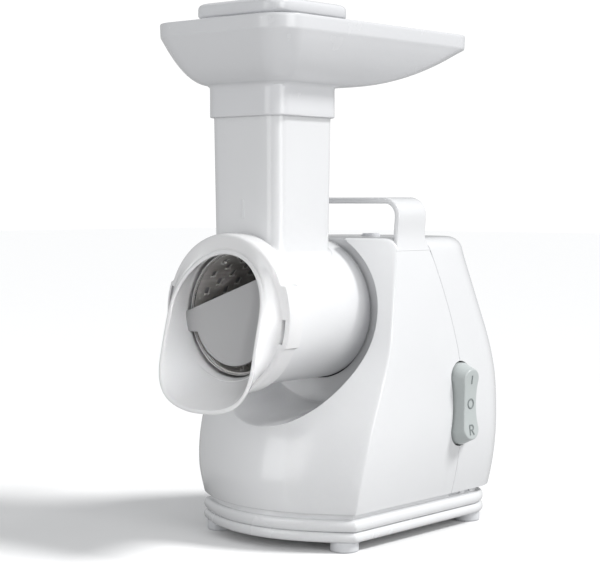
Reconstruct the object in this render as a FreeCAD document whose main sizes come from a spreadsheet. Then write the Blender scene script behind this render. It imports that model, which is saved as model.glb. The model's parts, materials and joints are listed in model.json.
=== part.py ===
import FreeCAD, Part
import math
import os
import re

import Sketcher
from FreeCAD import Placement, Rotation, Vector

# Electric meat grinder with a drum-grater head, in millimetres.
# +Z is up, the outlet faces -Y and the rocker switch is on the +X side. The pieces
# are drawn about the machine's middle plane at X = 0; the export moves them all by
# centre_shift, so that the origin is on the table under the middle of the box that
# holds the machine and its switch.

SIZES = {
    "centre_shift": 4.5,
    # drive axes
    "axis_height": 148.0,
    "shaft_radius": 6.0,
    "running_gap": 0.05,
    "slip_gap": 0.4,
    # body shell
    "body_half_width": 72.4,
    "bottom_tuck": 8.0,
    "top_tuck": 13.4,
    "body_bottom": 24.0,
    "top_over_axis": 46.0,
    "front_edge": -51.7,
    "top_front_lean": 49.0,
    "front_bow": 24.0,
    "body_rear": 122.0,
    "top_rear_lean": 27.5,
    "rear_bow": 5.0,
    "rear_corner": 35.0,
    "shell_wall": 2.8,
    "top_edge_radius": 8.0,
    "seam_low": 50.0,
    "seam_high": 27.6,
    "panel_gap": 0.4,
    # handle arch
    "handle_rise": 26.0,
    "handle_strap": 4.0,
    "handle_corner": 12.0,
    "handle_spread": 1.0,
    # base
    "base_inset": 6.9,
    "bead_low": 6.5,
    "bead_thickness": 6.2,
    "bead_gap": 0.4,
    "frame_bead_thickness": 7.4,
    "neck_inset": 4.5,
    "base_wall": 7.0,
    "foot_radius": 9.0,
    "foot_inset": 12.5,
    "foot_front": -48.0,
    "foot_rear_inset": 25.0,
    "base_screw_radius": 1.7,
    # dish round the head
    "dish_margin": 11.5,
    "dish_drop": 5.5,
    "dish_floor": -11.0,
    "dish_flare": 8.0,
    "dish_reach": 45.0,
    # head
    "head_clearance": 2.8,
    "head_wall": 3.5,
    "head_front": -96.5,
    "spigot_step": 9.1,
    "spigot_length": 10.0,
    "lug_height": 3.0,
    "lug_width": 12.0,
    "socket_wall": 3.0,
    "twist": 40.0,
    "screw_head": 2.0,
    "tube_centre": -55.8,
    "tube_width": 57.0,
    "tube_depth": 55.2,
    "tube_taper": 1.6,
    "tube_corner": 9.0,
    "tube_wall": 2.8,
    "tube_rise": 138.0,
    # hopper tray
    "collar_grow": 2.3,
    "collar_lap": 16.0,
    "collar_lip": 4.0,
    "tray_half_width": 57.0,
    "tray_front": -110.5,
    "tray_rear": 87.5,
    "tray_corner": 20.0,
    "bowl_depth": 29.5,
    "tray_rim": 9.0,
    "tray_wall": 2.6,
    # pusher
    "pusher_gap": 1.3,
    "pusher_wall": 2.4,
    "pusher_reach": 52.0,
    "pusher_stand": 12.5,
    "pusher_cap_half": 36.5,
    "pusher_cap_corner": 11.0,
    "pusher_cap_thickness": 9.0,
    "stop_flange": 2.6,
    # drum
    "drum_radius": 37.8,
    "drum_sheet": 0.9,
    "drum_front": -88.5,
    "drum_rear": -22.0,
    "drum_rim_grow": 1.4,
    "hole_size": 4.2,
    "hole_pitch": 8.6,
    "hub_boss": 12.0,
    "drive_square": 10.0,
    # outlet cap
    "cap_overhang": 4.3,
    "cap_skirt": 14.0,
    "cap_face": -100.0,
    "mouth_step": 1.0,
    "mouth_drop": 56.5,
    "mouth_corner": 19.0,
    "lip_reach": -121.5,
    "lip_wall": 3.0,
    "cap_lug": 2.2,
    "ear_reach": 2.4,
    "ear_half_height": 19.0,
    "ear_slot_width": 2.4,
    "ear_slot_depth": 4.5,
    "ear_slot_sweep": 18.0,
    "ear_slot_turn": 1.5,
    "baffle_inset": 5.2,
    "baffle_thickness": 2.2,
    # rocker switch
    "switch_height": 84.5,
    "rocker_length": 54.0,
    "rocker_width": 20.0,
    "rocker_proud": 9.4,
    "rocker_waist": 1.6,
    "rocker_draft": 1.5,
    "rocker_end_draft": 3.5,
    "rocker_scoop": 2.2,
    "rocker_gap": 1.2,
    # gear train
    "module_slow": 1.25,
    "module_fast": 0.8,
    "teeth_output": 56,
    "teeth_pinion": 14,
    "teeth_wheel": 60,
    "teeth_motor": 12,
    "backlash": 0.16,
    "slow_face": 12.0,
    "fast_face": 7.0,
    "gearbox_front": 2.0,
    "gearbox_wall": 3.0,
    "gear_clearance": 1.8,
    "countershaft_radius": 3.0,
    # motor
    "rotor_shaft_radius": 3.5,
    "rotor_radius": 17.0,
    "air_gap": 0.6,
    "stator_width": 58.0,
    "stator_height": 62.0,
    "fan_radius": 27.0,
    "commutator_radius": 10.5,
    "bearing_radius": 11.0,
    "motor_rear_gap": 8.0,
    # release button
    "button_radius": 6.5,
    "button_y": 45.0,
    "spring_wire": 0.6,
    # cord inlet
    "gland_radius": 7.0,
    "gland_height": 42.0,
}

doc = FreeCAD.newDocument("meat_grinder")
sheet = doc.addObject("Spreadsheet::Sheet", "Dims")
for row, (alias, amount) in enumerate(SIZES.items(), 1):
    sheet.set("A%d" % row, alias)
    sheet.set("B%d" % row, str(amount))
    sheet.setAlias("B%d" % row, alias)
doc.recompute()

NODES = []
ALONG_Y = Rotation(Vector(1, 0, 0), -90)
UPRIGHT = Rotation()


def size(alias):
    return float(sheet.get(alias))


# sizes that follow others: the head wraps the drum, the dish and the cap wrap the head
DRUM_RIM = "drum_radius + drum_rim_grow"
HEAD = DRUM_RIM + " + head_clearance + head_wall"
DISH = HEAD + " + dish_margin"
SPIGOT = HEAD + " - spigot_step"
drum_rim_radius = size("drum_radius") + size("drum_rim_grow")
head_radius = drum_rim_radius + size("head_clearance") + size("head_wall")
spigot_radius = head_radius - size("spigot_step")
cap_radius = head_radius + size("cap_overhang")
tube_top = size("axis_height") + size("tube_rise")
collar_bottom = tube_top - size("collar_lap")
collar_top = tube_top + size("collar_lip")
tray_rim_low = collar_top + size("bowl_depth")
tray_rim_top = tray_rim_low + size("tray_rim")
pusher_bottom = size("axis_height") + size("pusher_reach")
pusher_top = tray_rim_top + size("pusher_stand")


def link(text):
    """An expression in which each alias of the sheet is read from the sheet."""
    def swap(word):
        return "Dims." + word.group(0) if word.group(0) in SIZES else word.group(0)
    return re.sub(r"[a-z][a-z_]*", swap, str(text))


def bind(item, **texts):
    for prop, text in texts.items():
        item.setExpression(prop, link(text))


def place(item, spot, turn=UPRIGHT):
    item.Placement = Placement(Vector(), turn)
    for axis, text in zip("xyz", spot):
        item.setExpression("Placement.Base." + axis, link(text))
    return item


def box(name, extent, corner, turn=UPRIGHT):
    item = doc.addObject("Part::Box", name)
    bind(item, Length=extent[0], Width=extent[1], Height=extent[2])
    return place(item, corner, turn)


def rod(name, radius, length, start, turn=ALONG_Y):
    item = doc.addObject("Part::Cylinder", name)
    bind(item, Radius=radius, Height=length)
    return place(item, start, turn)


def cone(name, radius_start, radius_end, length, start, turn=ALONG_Y):
    item = doc.addObject("Part::Cone", name)
    bind(item, Radius1=radius_start, Radius2=radius_end, Height=length)
    return place(item, start, turn)


def fuse(name, *items):
    item = doc.addObject("Part::MultiFuse", name)
    item.Shapes = list(items)
    return item


def cut(name, base, *tools):
    item = doc.addObject("Part::Cut", name)
    item.Base = base
    item.Tool = tools[0] if len(tools) == 1 else fuse(name + "_tools", *tools)
    return item


def common(name, base, tool):
    item = doc.addObject("Part::Common", name)
    item.Base = base
    item.Tool = tool
    return item


def solid(name, shape):
    item = doc.addObject("Part::Feature", name)
    item.Shape = shape
    return item


def node(label, item):
    """Marks an object as a finished piece; its label names its file."""
    item.Label = label
    NODES.append(item)
    return item


def origin_plane(body, role):
    return next(f for f in body.Origin.OriginFeatures if f.Role == role)


def padded_rings(name, steps, start, turn=ALONG_Y):
    """A turned piece: round pads (outer, bore, from, to) stacked on one axis."""
    body = doc.addObject("PartDesign::Body", name)
    for index, (outer, bore, low, high) in enumerate(steps):
        sketch = body.newObject("Sketcher::SketchObject", "%s_sketch%d" % (name, index))
        sketch.AttachmentSupport = (origin_plane(body, "XY_Plane"), [""])
        sketch.MapMode = "FlatFace"
        sketch.setExpression("AttachmentOffset.Base.z", link(low))
        for ring, (word, radius) in enumerate((("outer", outer), ("bore", bore))):
            if radius is None:
                continue
            sketch.addGeometry(Part.Circle(Vector(), Vector(0, 0, 1), 1.0 + ring), False)
            sketch.addConstraint(Sketcher.Constraint("Coincident", ring, 3, -1, 1))
            number = sketch.addConstraint(Sketcher.Constraint("Radius", ring, 2.0 - ring))
            sketch.renameConstraint(number, word)
            sketch.setExpression("Constraints." + word, link(radius))
        pad = body.newObject("PartDesign::Pad", "%s_pad%d" % (name, index))
        pad.Profile = sketch
        pad.setExpression("Length", link("(%s) - (%s)" % (high, low)))
        sketch.Visibility = False
        body.Tip = pad
        doc.recompute()
    return place(body, start, turn)


def loft(sections, ruled=False):
    shape = Part.makeLoft(sections, True, ruled)
    return shape if shape.Volume > 0 else shape.reversed()


def rounded_rectangle(half_x, half_y, centre_y, radius, height):
    corners = [(1, 1), (-1, 1), (-1, -1), (1, -1)]
    edges = []
    ends = []
    for index, (sx, sy) in enumerate(corners):
        hub = Vector(sx * (half_x - radius), centre_y + sy * (half_y - radius), height)
        start = math.pi / 2 * index
        points = [hub + Vector(math.cos(start + a), math.sin(start + a), 0) * radius
                  for a in (0, math.pi / 4, math.pi / 2)]
        ends.append((points[0], points[2]))
        edges.append(Part.Arc(*points).toShape())
    wire = []
    for index in range(4):
        wire.append(edges[index])
        wire.append(Part.makeLine(ends[index][1], ends[(index + 1) % 4][0]))
    return Part.Wire(wire)


# ---------------------------------------------------------------- body outline

BODY_TOP = size("axis_height") + size("top_over_axis")
BODY_HEIGHT = BODY_TOP - size("body_bottom")
WIDEST_SHARE = 0.32

# share of the body's height, lean of the front edge, lean of the rear wall
STATIONS = [(0.0, 0.0, 0.0), (0.12, -0.01, 0.02), (0.30, 0.13, 0.07), (0.45, 0.35, 0.12),
            (0.58, 0.555, 0.30), (0.75, 0.72, 0.66), (0.92, 0.90, 0.95), (1.0, 1.0, 1.0)]


def station(share, column):
    """Smooth reading of the station list at a share of the body's height."""
    xs = [entry[0] for entry in STATIONS]
    ys = [entry[column] for entry in STATIONS]
    i = max(0, min(len(xs) - 2, sum(1 for x in xs[1:-1] if x <= share)))
    def slope(k):
        if k in (0, len(xs) - 1):
            k = min(max(k, 1), len(xs) - 1)
            return (ys[k] - ys[k - 1]) / (xs[k] - xs[k - 1])
        return (ys[k + 1] - ys[k - 1]) / (xs[k + 1] - xs[k - 1])
    span = xs[i + 1] - xs[i]
    u = (share - xs[i]) / span
    return ((2 * u ** 3 - 3 * u ** 2 + 1) * ys[i] + (u ** 3 - 2 * u ** 2 + u) * span * slope(i)
            + (3 * u ** 2 - 2 * u ** 3) * ys[i + 1] + (u ** 3 - u ** 2) * span * slope(i + 1))


def share_of(height):
    return (height - size("body_bottom")) / BODY_HEIGHT


def half_width(height):
    share = share_of(height)
    if share < WIDEST_SHARE:
        return size("body_half_width") - size("bottom_tuck") * (1 - share / WIDEST_SHARE) ** 2
    rise = (share - WIDEST_SHARE) / (1 - WIDEST_SHARE)
    return size("body_half_width") - size("top_tuck") * rise ** 2


def front_line(height):
    return size("front_edge") + size("top_front_lean") * station(share_of(height), 1)


def rear_line(height):
    return size("body_rear") - size("top_rear_lean") * station(share_of(height), 2)


def seam_line(height):
    """The joint between the middle and rear shells: upright, then leaning forward."""
    share = share_of(height)
    rise = max(0.0, (share - 0.5) / 0.5)
    return size("seam_low") - (size("seam_low") - size("seam_high")) * rise ** 1.25


def plan(half, front, bow, rear, rear_bow, radius, height):
    """Bowed front between two sharp corners, straight sides, rounded rear corners."""
    square = rear - rear_bow
    diagonal = radius * math.sqrt(0.5)
    left_front = Vector(-half, front, height)
    right_front = Vector(half, front, height)
    side_end = Vector(half, square - radius, height)
    bend = Vector(half - radius + diagonal, square - radius + diagonal, height)
    rear_end = Vector(half - radius, square, height)
    rear_middle = Vector(0, rear, height)
    def mirror(p):
        return Vector(-p.x, p.y, p.z)
    return Part.Wire([
        Part.Arc(left_front, Vector(0, front - bow, height), right_front).toShape(),
        Part.makeLine(right_front, side_end),
        Part.Arc(side_end, bend, rear_end).toShape(),
        Part.Arc(rear_end, rear_middle, mirror(rear_end)).toShape(),
        Part.Arc(mirror(rear_end), mirror(bend), mirror(side_end)).toShape(),
        Part.makeLine(mirror(side_end), left_front),
    ])


def body_section(height, inset, z):
    return plan(half_width(height) - inset, front_line(height) + 0.6 * inset,
                size("front_bow"), rear_line(height) - inset, size("rear_bow"),
                size("rear_corner") - inset, z)


def body_loft(inset, low, high, edge_radius):
    """The shell's volume, inset from its skin, with its top edge rounded over."""
    heights = [low + (high - edge_radius - low) * k / 7.0 for k in range(8)]
    sections = [body_section(z, inset, z) for z in heights]
    for angle in (25, 50, 72, 90):
        drop = edge_radius * (1 - math.cos(math.radians(angle)))
        z = high - edge_radius + edge_radius * math.sin(math.radians(angle))
        sections.append(body_section(z, inset + drop, z))
    return loft(sections)


wall = size("shell_wall")
outer_volume = body_loft(0, size("body_bottom"), BODY_TOP, size("top_edge_radius"))
inner_volume = body_loft(wall, size("body_bottom") - 1, BODY_TOP - wall,
                         size("top_edge_radius") - wall / 2)
shell = outer_volume.cut(inner_volume)


def side_region(line_points, toward):
    """A block across the whole machine, bounded by a curve seen from the side."""
    reach = 400
    curve = Part.BSplineCurve()
    curve.interpolate(line_points)
    first, last = line_points[0], line_points[-1]
    below = Vector(0, first.y, first.z - reach)
    above = Vector(0, last.y, last.z + reach)
    edges = [
        Part.makeLine(below, first),
        curve.toShape(),
        Part.makeLine(last, above),
        Part.makeLine(above, above + Vector(0, toward * reach, 0)),
        Part.makeLine(above + Vector(0, toward * reach, 0), below + Vector(0, toward * reach, 0)),
        Part.makeLine(below + Vector(0, toward * reach, 0), below),
    ]
    face = Part.Face(Part.Wire(edges))
    face.translate(Vector(-reach, 0, 0))
    return face.extrude(Vector(2 * reach, 0, 0))


def line_at(line, shift):
    heights = [size("body_bottom") + BODY_HEIGHT * k / 9.0 for k in range(10)]
    return [Vector(0, line(z) + shift, z) for z in heights]


gap = size("panel_gap")
front_region = side_region(line_at(front_line, 0), -1)
front_cutter = side_region(line_at(front_line, gap), -1)
rear_region = side_region(line_at(seam_line, gap), 1)
rear_cutter = side_region(line_at(seam_line, 0), 1)

# ---------------------------------------------------------------- dish

dish_z = size("axis_height") - size("dish_drop")


def dish_cone(name, grow, floor):
    slope = "dish_flare / dish_reach"
    reach = "(dish_reach + 60)"
    return cone(name, "%s + %s + %s * %s" % (DISH, grow, slope, reach),
                "%s + %s" % (DISH, grow), reach,
                (0, "%s - %s" % (floor, reach), "axis_height - dish_drop"))


dish = dish_cone("dish_hollow", "0", "dish_floor")
dish_back = dish_cone("dish_backing", "shell_wall", "dish_floor + shell_wall")
dish_clear = dish_cone("dish_clearance", "shell_wall + panel_gap",
                       "dish_floor + shell_wall + panel_gap")
spigot_hole = rod("spigot_hole", SPIGOT + " + lug_height + slip_gap + 0.6", "20",
                  (0, "dish_floor - 5", "axis_height"))

outer_item = solid("body_volume", outer_volume)
skin_item = solid("front_skin", shell.common(front_region))
dish_cup = cut("dish_cup", common("dish_cup_blank", dish_back, outer_item), dish)
front_skin_open = cut("front_skin_open", skin_item, dish)
node("front_cover", cut("front_cover_solid",
                        fuse("front_cover_blank", front_skin_open, dish_cup), spigot_hole))

# ---------------------------------------------------------------- handle and shells


def handle_arch():
    """A strap over the machine that grows out of the middle shell's two sides."""
    top = BODY_TOP + size("handle_rise")
    strap = size("handle_strap")
    radius = size("handle_corner")
    low = BODY_TOP - 14
    foot_x = half_width(low)
    head_x = half_width(BODY_TOP) + size("handle_spread")
    def outline(inset):
        z = top - inset
        bend = radius - inset
        hub = Vector(head_x - radius, 0, top - radius)
        diagonal = bend * math.sqrt(0.5)
        side = [Vector(foot_x - inset, 0, low), Vector(head_x - inset, 0, top - radius),
                hub + Vector(diagonal, 0, diagonal), Vector(hub.x, 0, z)]
        other = [Vector(-p.x, 0, p.z) for p in reversed(side)]
        return side, other
    outer_right, outer_left = outline(0)
    inner_right, inner_left = outline(strap)
    edges = [
        Part.makeLine(outer_right[0], outer_right[1]),
        Part.Arc(outer_right[1], outer_right[2], outer_right[3]).toShape(),
        Part.makeLine(outer_right[3], outer_left[0]),
        Part.Arc(outer_left[0], outer_left[1], outer_left[2]).toShape(),
        Part.makeLine(outer_left[2], outer_left[3]),
        Part.makeLine(outer_left[3], inner_left[3]),
        Part.makeLine(inner_left[3], inner_left[2]),
        Part.Arc(inner_left[2], inner_left[1], inner_left[0]).toShape(),
        Part.makeLine(inner_left[0], inner_right[3]),
        Part.Arc(inner_right[3], inner_right[2], inner_right[1]).toShape(),
        Part.makeLine(inner_right[1], inner_right[0]),
        Part.makeLine(inner_right[0], outer_right[0]),
    ]
    face = Part.Face(Part.Wire(edges))
    face.translate(Vector(0, front_line(BODY_TOP) - 40, 0))
    block = face.extrude(Vector(0, 120, 0))
    return block.cut(front_cutter).cut(rear_cutter)


def switch_window(name, grow):
    """The rocker's upright opening in the +X side."""
    return box(name, ("40", "rocker_width + 2 * %s" % grow, "rocker_length + 2 * %s" % grow),
               ("body_half_width - 22", "seam_low - rocker_width / 2 - %s" % grow,
                "switch_height - rocker_length / 2 - %s" % grow))


window = switch_window("switch_window", "rocker_gap")
middle_skin = shell.cut(front_cutter).cut(rear_cutter)
middle_item = solid("middle_skin", middle_skin.fuse(handle_arch()))
node("middle_shell", cut("middle_shell_solid", middle_item, dish_clear, window))

button_hole = rod("button_hole", "button_radius + slip_gap", "30",
                  (0, "button_y", "axis_height + top_over_axis - 20"), UPRIGHT)
gland_hole = rod("gland_hole", "gland_radius - 2", "40", (0, "body_rear - 25", "gland_height"))
rear_item = solid("rear_skin", shell.common(rear_region))
vents = [box("rear_vent_%d" % k, (2.4, 40, 22), (-19.2 + 6 * k, "body_rear - 20", 56))
         for k in range(7)]
node("rear_shell", cut("rear_shell_solid", rear_item, window, button_hole, gland_hole, *vents))

# ---------------------------------------------------------------- base

BASE_HALF = size("body_half_width") - size("base_inset")
BASE_FRONT = size("front_edge")
BASE_REAR = size("body_rear") - 13
BASE_CORNER = size("rear_corner") - 5


def base_section(inset, z):
    return plan(BASE_HALF - inset, BASE_FRONT + 0.6 * inset, size("front_bow"),
                BASE_REAR - inset, 3, BASE_CORNER - inset, z)


def bead(low, thickness):
    """A band whose edge is half round."""
    radius = thickness / 2
    sections = []
    for angle in (-80, -50, -20, 20, 50, 80):
        a = math.radians(angle)
        sections.append(base_section(0.7 * radius * (1 - math.cos(a)),
                                     low + radius + radius * math.sin(a) / math.sin(math.radians(80))))
    return loft(sections)


def prism(wire, height):
    return Part.Face(wire).extrude(Vector(0, 0, height))


bead_low = size("bead_low")
bead_high = bead_low + size("bead_thickness")
frame_low = bead_high + size("bead_gap")
frame_high = frame_low + size("frame_bead_thickness")
thick = size("base_wall")
foot_x = BASE_HALF - size("foot_inset")
foot_rear = BASE_REAR - size("foot_rear_inset")
FEET = {"foot_front_left": (-foot_x, size("foot_front")),
        "foot_front_right": (foot_x, size("foot_front")),
        "foot_rear_left": (-foot_x, foot_rear),
        "foot_rear_right": (foot_x, foot_rear)}

plate = bead(bead_low, size("bead_thickness"))
plate = plate.cut(prism(base_section(thick, bead_low + 3), 20))
screw_spots = [(x * 0.93, y + (16 if y < 0 else -16)) for x, y in FEET.values()]
for x, y in screw_spots:
    post = Part.makeCylinder(4, frame_low - bead_low - 2, Vector(x, y, bead_low + 1.5))
    plate = plate.fuse(post)
    plate = plate.cut(Part.makeCylinder(size("base_screw_radius") + 0.3, 40, Vector(x, y, 0)))
    plate = plate.cut(Part.makeCylinder(3.2, 2.5, Vector(x, y, bead_low - 0.5)))
node("base_plate", solid("base_plate_solid", plate))

frame = bead(frame_low, size("frame_bead_thickness"))
neck = prism(base_section(size("neck_inset"), frame_high - 1),
             size("body_bottom") - frame_high + 1)
lip = prism(base_section(2.5, bead_high), size("bead_gap") + 1)
frame = frame.fuse(neck).fuse(lip)
frame = frame.cut(prism(base_section(thick + size("neck_inset"), 0), 60))
for x, y in screw_spots:
    column = Part.makeCylinder(4, 9, Vector(x, y, frame_low))
    rib = Part.makeBox(thick + 12, 3, 9, Vector(x if x > 0 else x - thick - 12, y - 1.5, frame_low))
    frame = frame.fuse(column).fuse(rib.common(prism(base_section(2, frame_low), 9)))
    frame = frame.cut(Part.makeCylinder(size("base_screw_radius") - 0.1, 30, Vector(x, y, 0)))
for k in range(3):
    slot = Part.makeBox(40, 7, 1.8, Vector(BASE_HALF - 25, 52 + 12 * k, frame_high + 0.6))
    frame = frame.cut(slot)
node("base_frame", solid("base_frame_solid", frame))

screws = []
for x, y in screw_spots:
    head = Part.makeCylinder(2.9, 1.6, Vector(x, y, bead_low + 0.2))
    shank = Part.makeCylinder(size("base_screw_radius") - 0.1, 12, Vector(x, y, bead_low + 1))
    screws.append(head.fuse(shank))
node("base_screws", solid("base_screws_solid", Part.makeCompound(screws)))

for label, (x, y) in FEET.items():
    node(label, padded_rings(label + "_body", [
        ("foot_radius - 0.9", None, "0", "0.9"),
        ("foot_radius", None, "0.9", "bead_low"),
    ], (x, y, 0), UPRIGHT))

# ---------------------------------------------------------------- head: housing and tube

head_tube_low = size("axis_height")


def tube_wire(z, inset):
    share = (z - head_tube_low) / (tube_top - head_tube_low)
    grow = size("tube_taper") * (share - 0.5)
    return rounded_rectangle(size("tube_width") / 2 + grow - inset,
                             size("tube_depth") / 2 + grow - inset, size("tube_centre"),
                             size("tube_corner") - inset, z)


def lugs(radius, height, width, y_low, length, first, count):
    """Bayonet lugs: short blocks on a round wall, bounded by their own outer radius."""
    ring = Part.makeCylinder(radius + height, length, Vector(0, y_low, size("axis_height")),
                             Vector(0, 1, 0))
    ring = ring.cut(Part.makeCylinder(radius - 1, length, Vector(0, y_low, size("axis_height")),
                                      Vector(0, 1, 0)))
    blocks = []
    for k in range(count):
        block = Part.makeBox(80, length, width, Vector(0, y_low, -width / 2))
        block.rotate(Vector(), Vector(0, 1, 0), -(first + 360.0 * k / count))
        block.translate(Vector(0, 0, size("axis_height")))
        blocks.append(block)
    return ring.common(Part.makeCompound(blocks))


def turned(radius, low, high):
    return Part.makeCylinder(radius, high - low, Vector(0, low, size("axis_height")),
                             Vector(0, 1, 0))


head_front = size("head_front")
head_rear = size("dish_floor") - 1.5
spigot_end = head_rear + size("spigot_length")
housing = turned(head_radius, head_front, head_rear)
housing = housing.fuse(loft([tube_wire(head_tube_low, 0), tube_wire(tube_top, 0)], True))
housing = housing.fuse(turned(spigot_radius, head_rear - 1, spigot_end))
housing = housing.fuse(lugs(spigot_radius, size("lug_height"), size("lug_width"),
                            spigot_end - 4, 4, 90, 3))
housing = housing.fuse(lugs(head_radius, size("cap_lug"), 9, head_front + 3, 3, 0, 2))
housing = housing.cut(turned(head_radius - size("head_wall"), head_front - 1,
                             head_rear - size("head_wall")))
housing = housing.cut(turned(spigot_radius - size("head_wall"), head_front,
                             spigot_end + 1))
throat = loft([tube_wire(head_tube_low + 20, size("tube_wall")),
               tube_wire(tube_top + 5, size("tube_wall"))], True)
housing = housing.cut(throat)
node("drum_housing", solid("drum_housing_solid", housing))

socket_low = size("dish_floor") + wall
socket_high = size("gearbox_front") - size("screw_head") - size("slip_gap")
socket = turned(spigot_radius + size("lug_height") + size("slip_gap") + size("socket_wall"),
                socket_low, socket_high)
socket = socket.cut(turned(spigot_radius + size("slip_gap"), socket_low - 1,
                           socket_high + 1))
socket = socket.cut(turned(spigot_radius + size("lug_height") + size("slip_gap"),
                           spigot_end - 4 - 1, spigot_end + 1))
socket = socket.cut(lugs(spigot_radius, size("lug_height") + size("slip_gap"),
                         size("lug_width") + 1, socket_low - 1, 12, 90 - size("twist"), 3))
node("head_socket", solid("head_socket_solid", socket))

# ---------------------------------------------------------------- drum

drum = turned(size("drum_radius"), size("drum_front"), size("drum_rear"))
drum = drum.cut(turned(size("drum_radius") - size("drum_sheet"), size("drum_front") - 1,
                       size("drum_rear") + 1))
hole = size("hole_size")
pitch = size("hole_pitch")
rows = int((size("drum_rear") - size("drum_front") - 12) // pitch)
around = 18
punches = []
for row in range(rows):
    for k in range(around // 2):
        punch = Part.makeBox(size("drum_radius") * 2 + 10, hole, hole,
                             Vector(-size("drum_radius") - 5, size("drum_front") + 7 + pitch * row,
                                    -hole / 2))
        if around % 2 == 0 and row % 2:
            punch.rotate(Vector(), Vector(0, 1, 0), 180.0 / around)
        punch.rotate(Vector(), Vector(0, 1, 0), 360.0 / around * k)
        punch.translate(Vector(0, 0, size("axis_height")))
        punches.append(punch)
drum = drum.cut(Part.makeCompound(punches))
node("grater_drum", solid("grater_drum_solid", drum))

node("drum_rim", padded_rings("drum_rim_body", [
    (DRUM_RIM, "drum_radius - 1.6", "0", "1.6"),
    (DRUM_RIM, "drum_radius", "1.6", "3.6"),
], (0, "drum_front - 1.6", "axis_height")))

hub_socket = box("hub_socket", ("drive_square + 0.5", "12", "drive_square + 0.5"),
                 ("-(drive_square + 0.5) / 2", "drum_rear + 6",
                  "axis_height - (drive_square + 0.5) / 2"))
hub = padded_rings("drum_hub_turned", [
    ("drum_radius - drum_sheet", None, "0", "5"),
    ("hub_boss", None, "5", "16"),
], (0, "drum_rear - 3", "axis_height"))
node("drum_hub", cut("drum_hub_solid", hub, hub_socket))

# ---------------------------------------------------------------- outlet cap

axis_z = size("axis_height")
cap_face = size("cap_face")
mouth = size("drum_radius") - size("mouth_step")
mouth_floor = axis_z - size("mouth_drop")


def arch(grow, y):
    """The mouth's outline: a half circle over straight sides and a rounded floor."""
    r = mouth + grow
    low = mouth_floor - grow
    corner = size("mouth_corner") + grow
    diagonal = corner * (1 - math.sqrt(0.5))
    sag = 5.0
    right_low = Vector(r, y, low + corner + sag)
    right_floor = Vector(r - corner, y, low + sag * 0.45)
    def mirror(p):
        return Vector(-p.x, p.y, p.z)
    bend = Vector(r - diagonal, y, low + sag * 0.75 + diagonal)
    return Part.Wire([
        Part.Arc(Vector(-r, y, axis_z), Vector(0, y, axis_z + r), Vector(r, y, axis_z)).toShape(),
        Part.makeLine(Vector(r, y, axis_z), right_low),
        Part.Arc(right_low, bend, right_floor).toShape(),
        Part.Arc(right_floor, Vector(0, y, low), mirror(right_floor)).toShape(),
        Part.Arc(mirror(right_floor), mirror(bend), mirror(right_low)).toShape(),
        Part.makeLine(mirror(right_low), Vector(-r, y, axis_z)),
    ])


def round_arch(radius, y):
    """A circle cut into the same six edges as the arch, for lofting to it."""
    def at(degrees):
        a = math.radians(degrees)
        return Vector(radius * math.cos(a), y, axis_z + radius * math.sin(a))
    cuts = [180, 0, -38, -58, -122, -142, -180]
    edges = [Part.Arc(at(180), at(90), at(0)).toShape()]
    for start, end in zip(cuts[1:-1], cuts[2:]):
        edges.append(Part.Arc(at(start), at((start + end) / 2), at(end)).toShape())
    return Part.Wire(edges)


lip_reach = size("lip_reach")
lip_wall = size("lip_wall")
skirt_end = cap_face + size("cap_skirt")
head_bore = head_radius - size("head_wall")
sleeve = head_bore - size("slip_gap")
sleeve_bore = sleeve - 1.8
sleeve_end = size("drum_front") - 1.6 - 1.4
spout = loft([round_arch(cap_radius - 1, cap_face + 3), arch(lip_wall, lip_reach - 2)],
             True)
spout_hollow = loft([round_arch(sleeve_bore, sleeve_end), arch(0, lip_reach - 3)], True)
ring = turned(cap_radius, cap_face, skirt_end)
ears = []
for side in (-1, 1):
    ear = turned(cap_radius + size("ear_reach"), cap_face + 1, skirt_end)
    half = size("ear_half_height")
    ears.append(ear.common(Part.makeBox(70, 40, 2 * half,
                                        Vector(-70 if side < 0 else 0, cap_face, axis_z - half))))
cap = ring.fuse(ears[0]).fuse(ears[1]).fuse(spout)
rim_seat = head_front - 2 * size("slip_gap")
groove_radius = head_radius + size("cap_lug") + size("slip_gap")
cap = cap.cut(turned(head_radius + 2 * size("slip_gap"), rim_seat, skirt_end + 1))
cap = cap.cut(turned(groove_radius, head_front + 2.4, head_front + 6.6))
cap = cap.fuse(turned(sleeve, rim_seat - 1, sleeve_end)).cut(spout_hollow)


def lean_cutter():
    """What lies in front of the mouth's rim, which leans forward towards its floor."""
    top_z = axis_z + cap_radius + 5
    points = [Vector(0, cap_face + 1.5, top_z), Vector(0, cap_face + 1.0, axis_z + mouth),
              Vector(0, (cap_face * 2 + lip_reach) / 3, axis_z + 12),
              Vector(0, lip_reach + 4.2, mouth_floor + 36), Vector(0, lip_reach, mouth_floor - 6)]
    curve = Part.BSplineCurve()
    curve.interpolate(points)
    far = -60
    corner_low = points[-1] + Vector(0, 0, -20)
    edges = [curve.toShape(), Part.makeLine(points[-1], corner_low),
             Part.makeLine(corner_low, corner_low + Vector(0, far, 0)),
             Part.makeLine(corner_low + Vector(0, far, 0), points[0] + Vector(0, far, 0)),
             Part.makeLine(points[0] + Vector(0, far, 0), points[0])]
    face = Part.Face(Part.Wire(edges))
    face.translate(Vector(-90, 0, 0))
    return face.extrude(Vector(180, 0, 0))


cap = cap.cut(lean_cutter())


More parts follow.
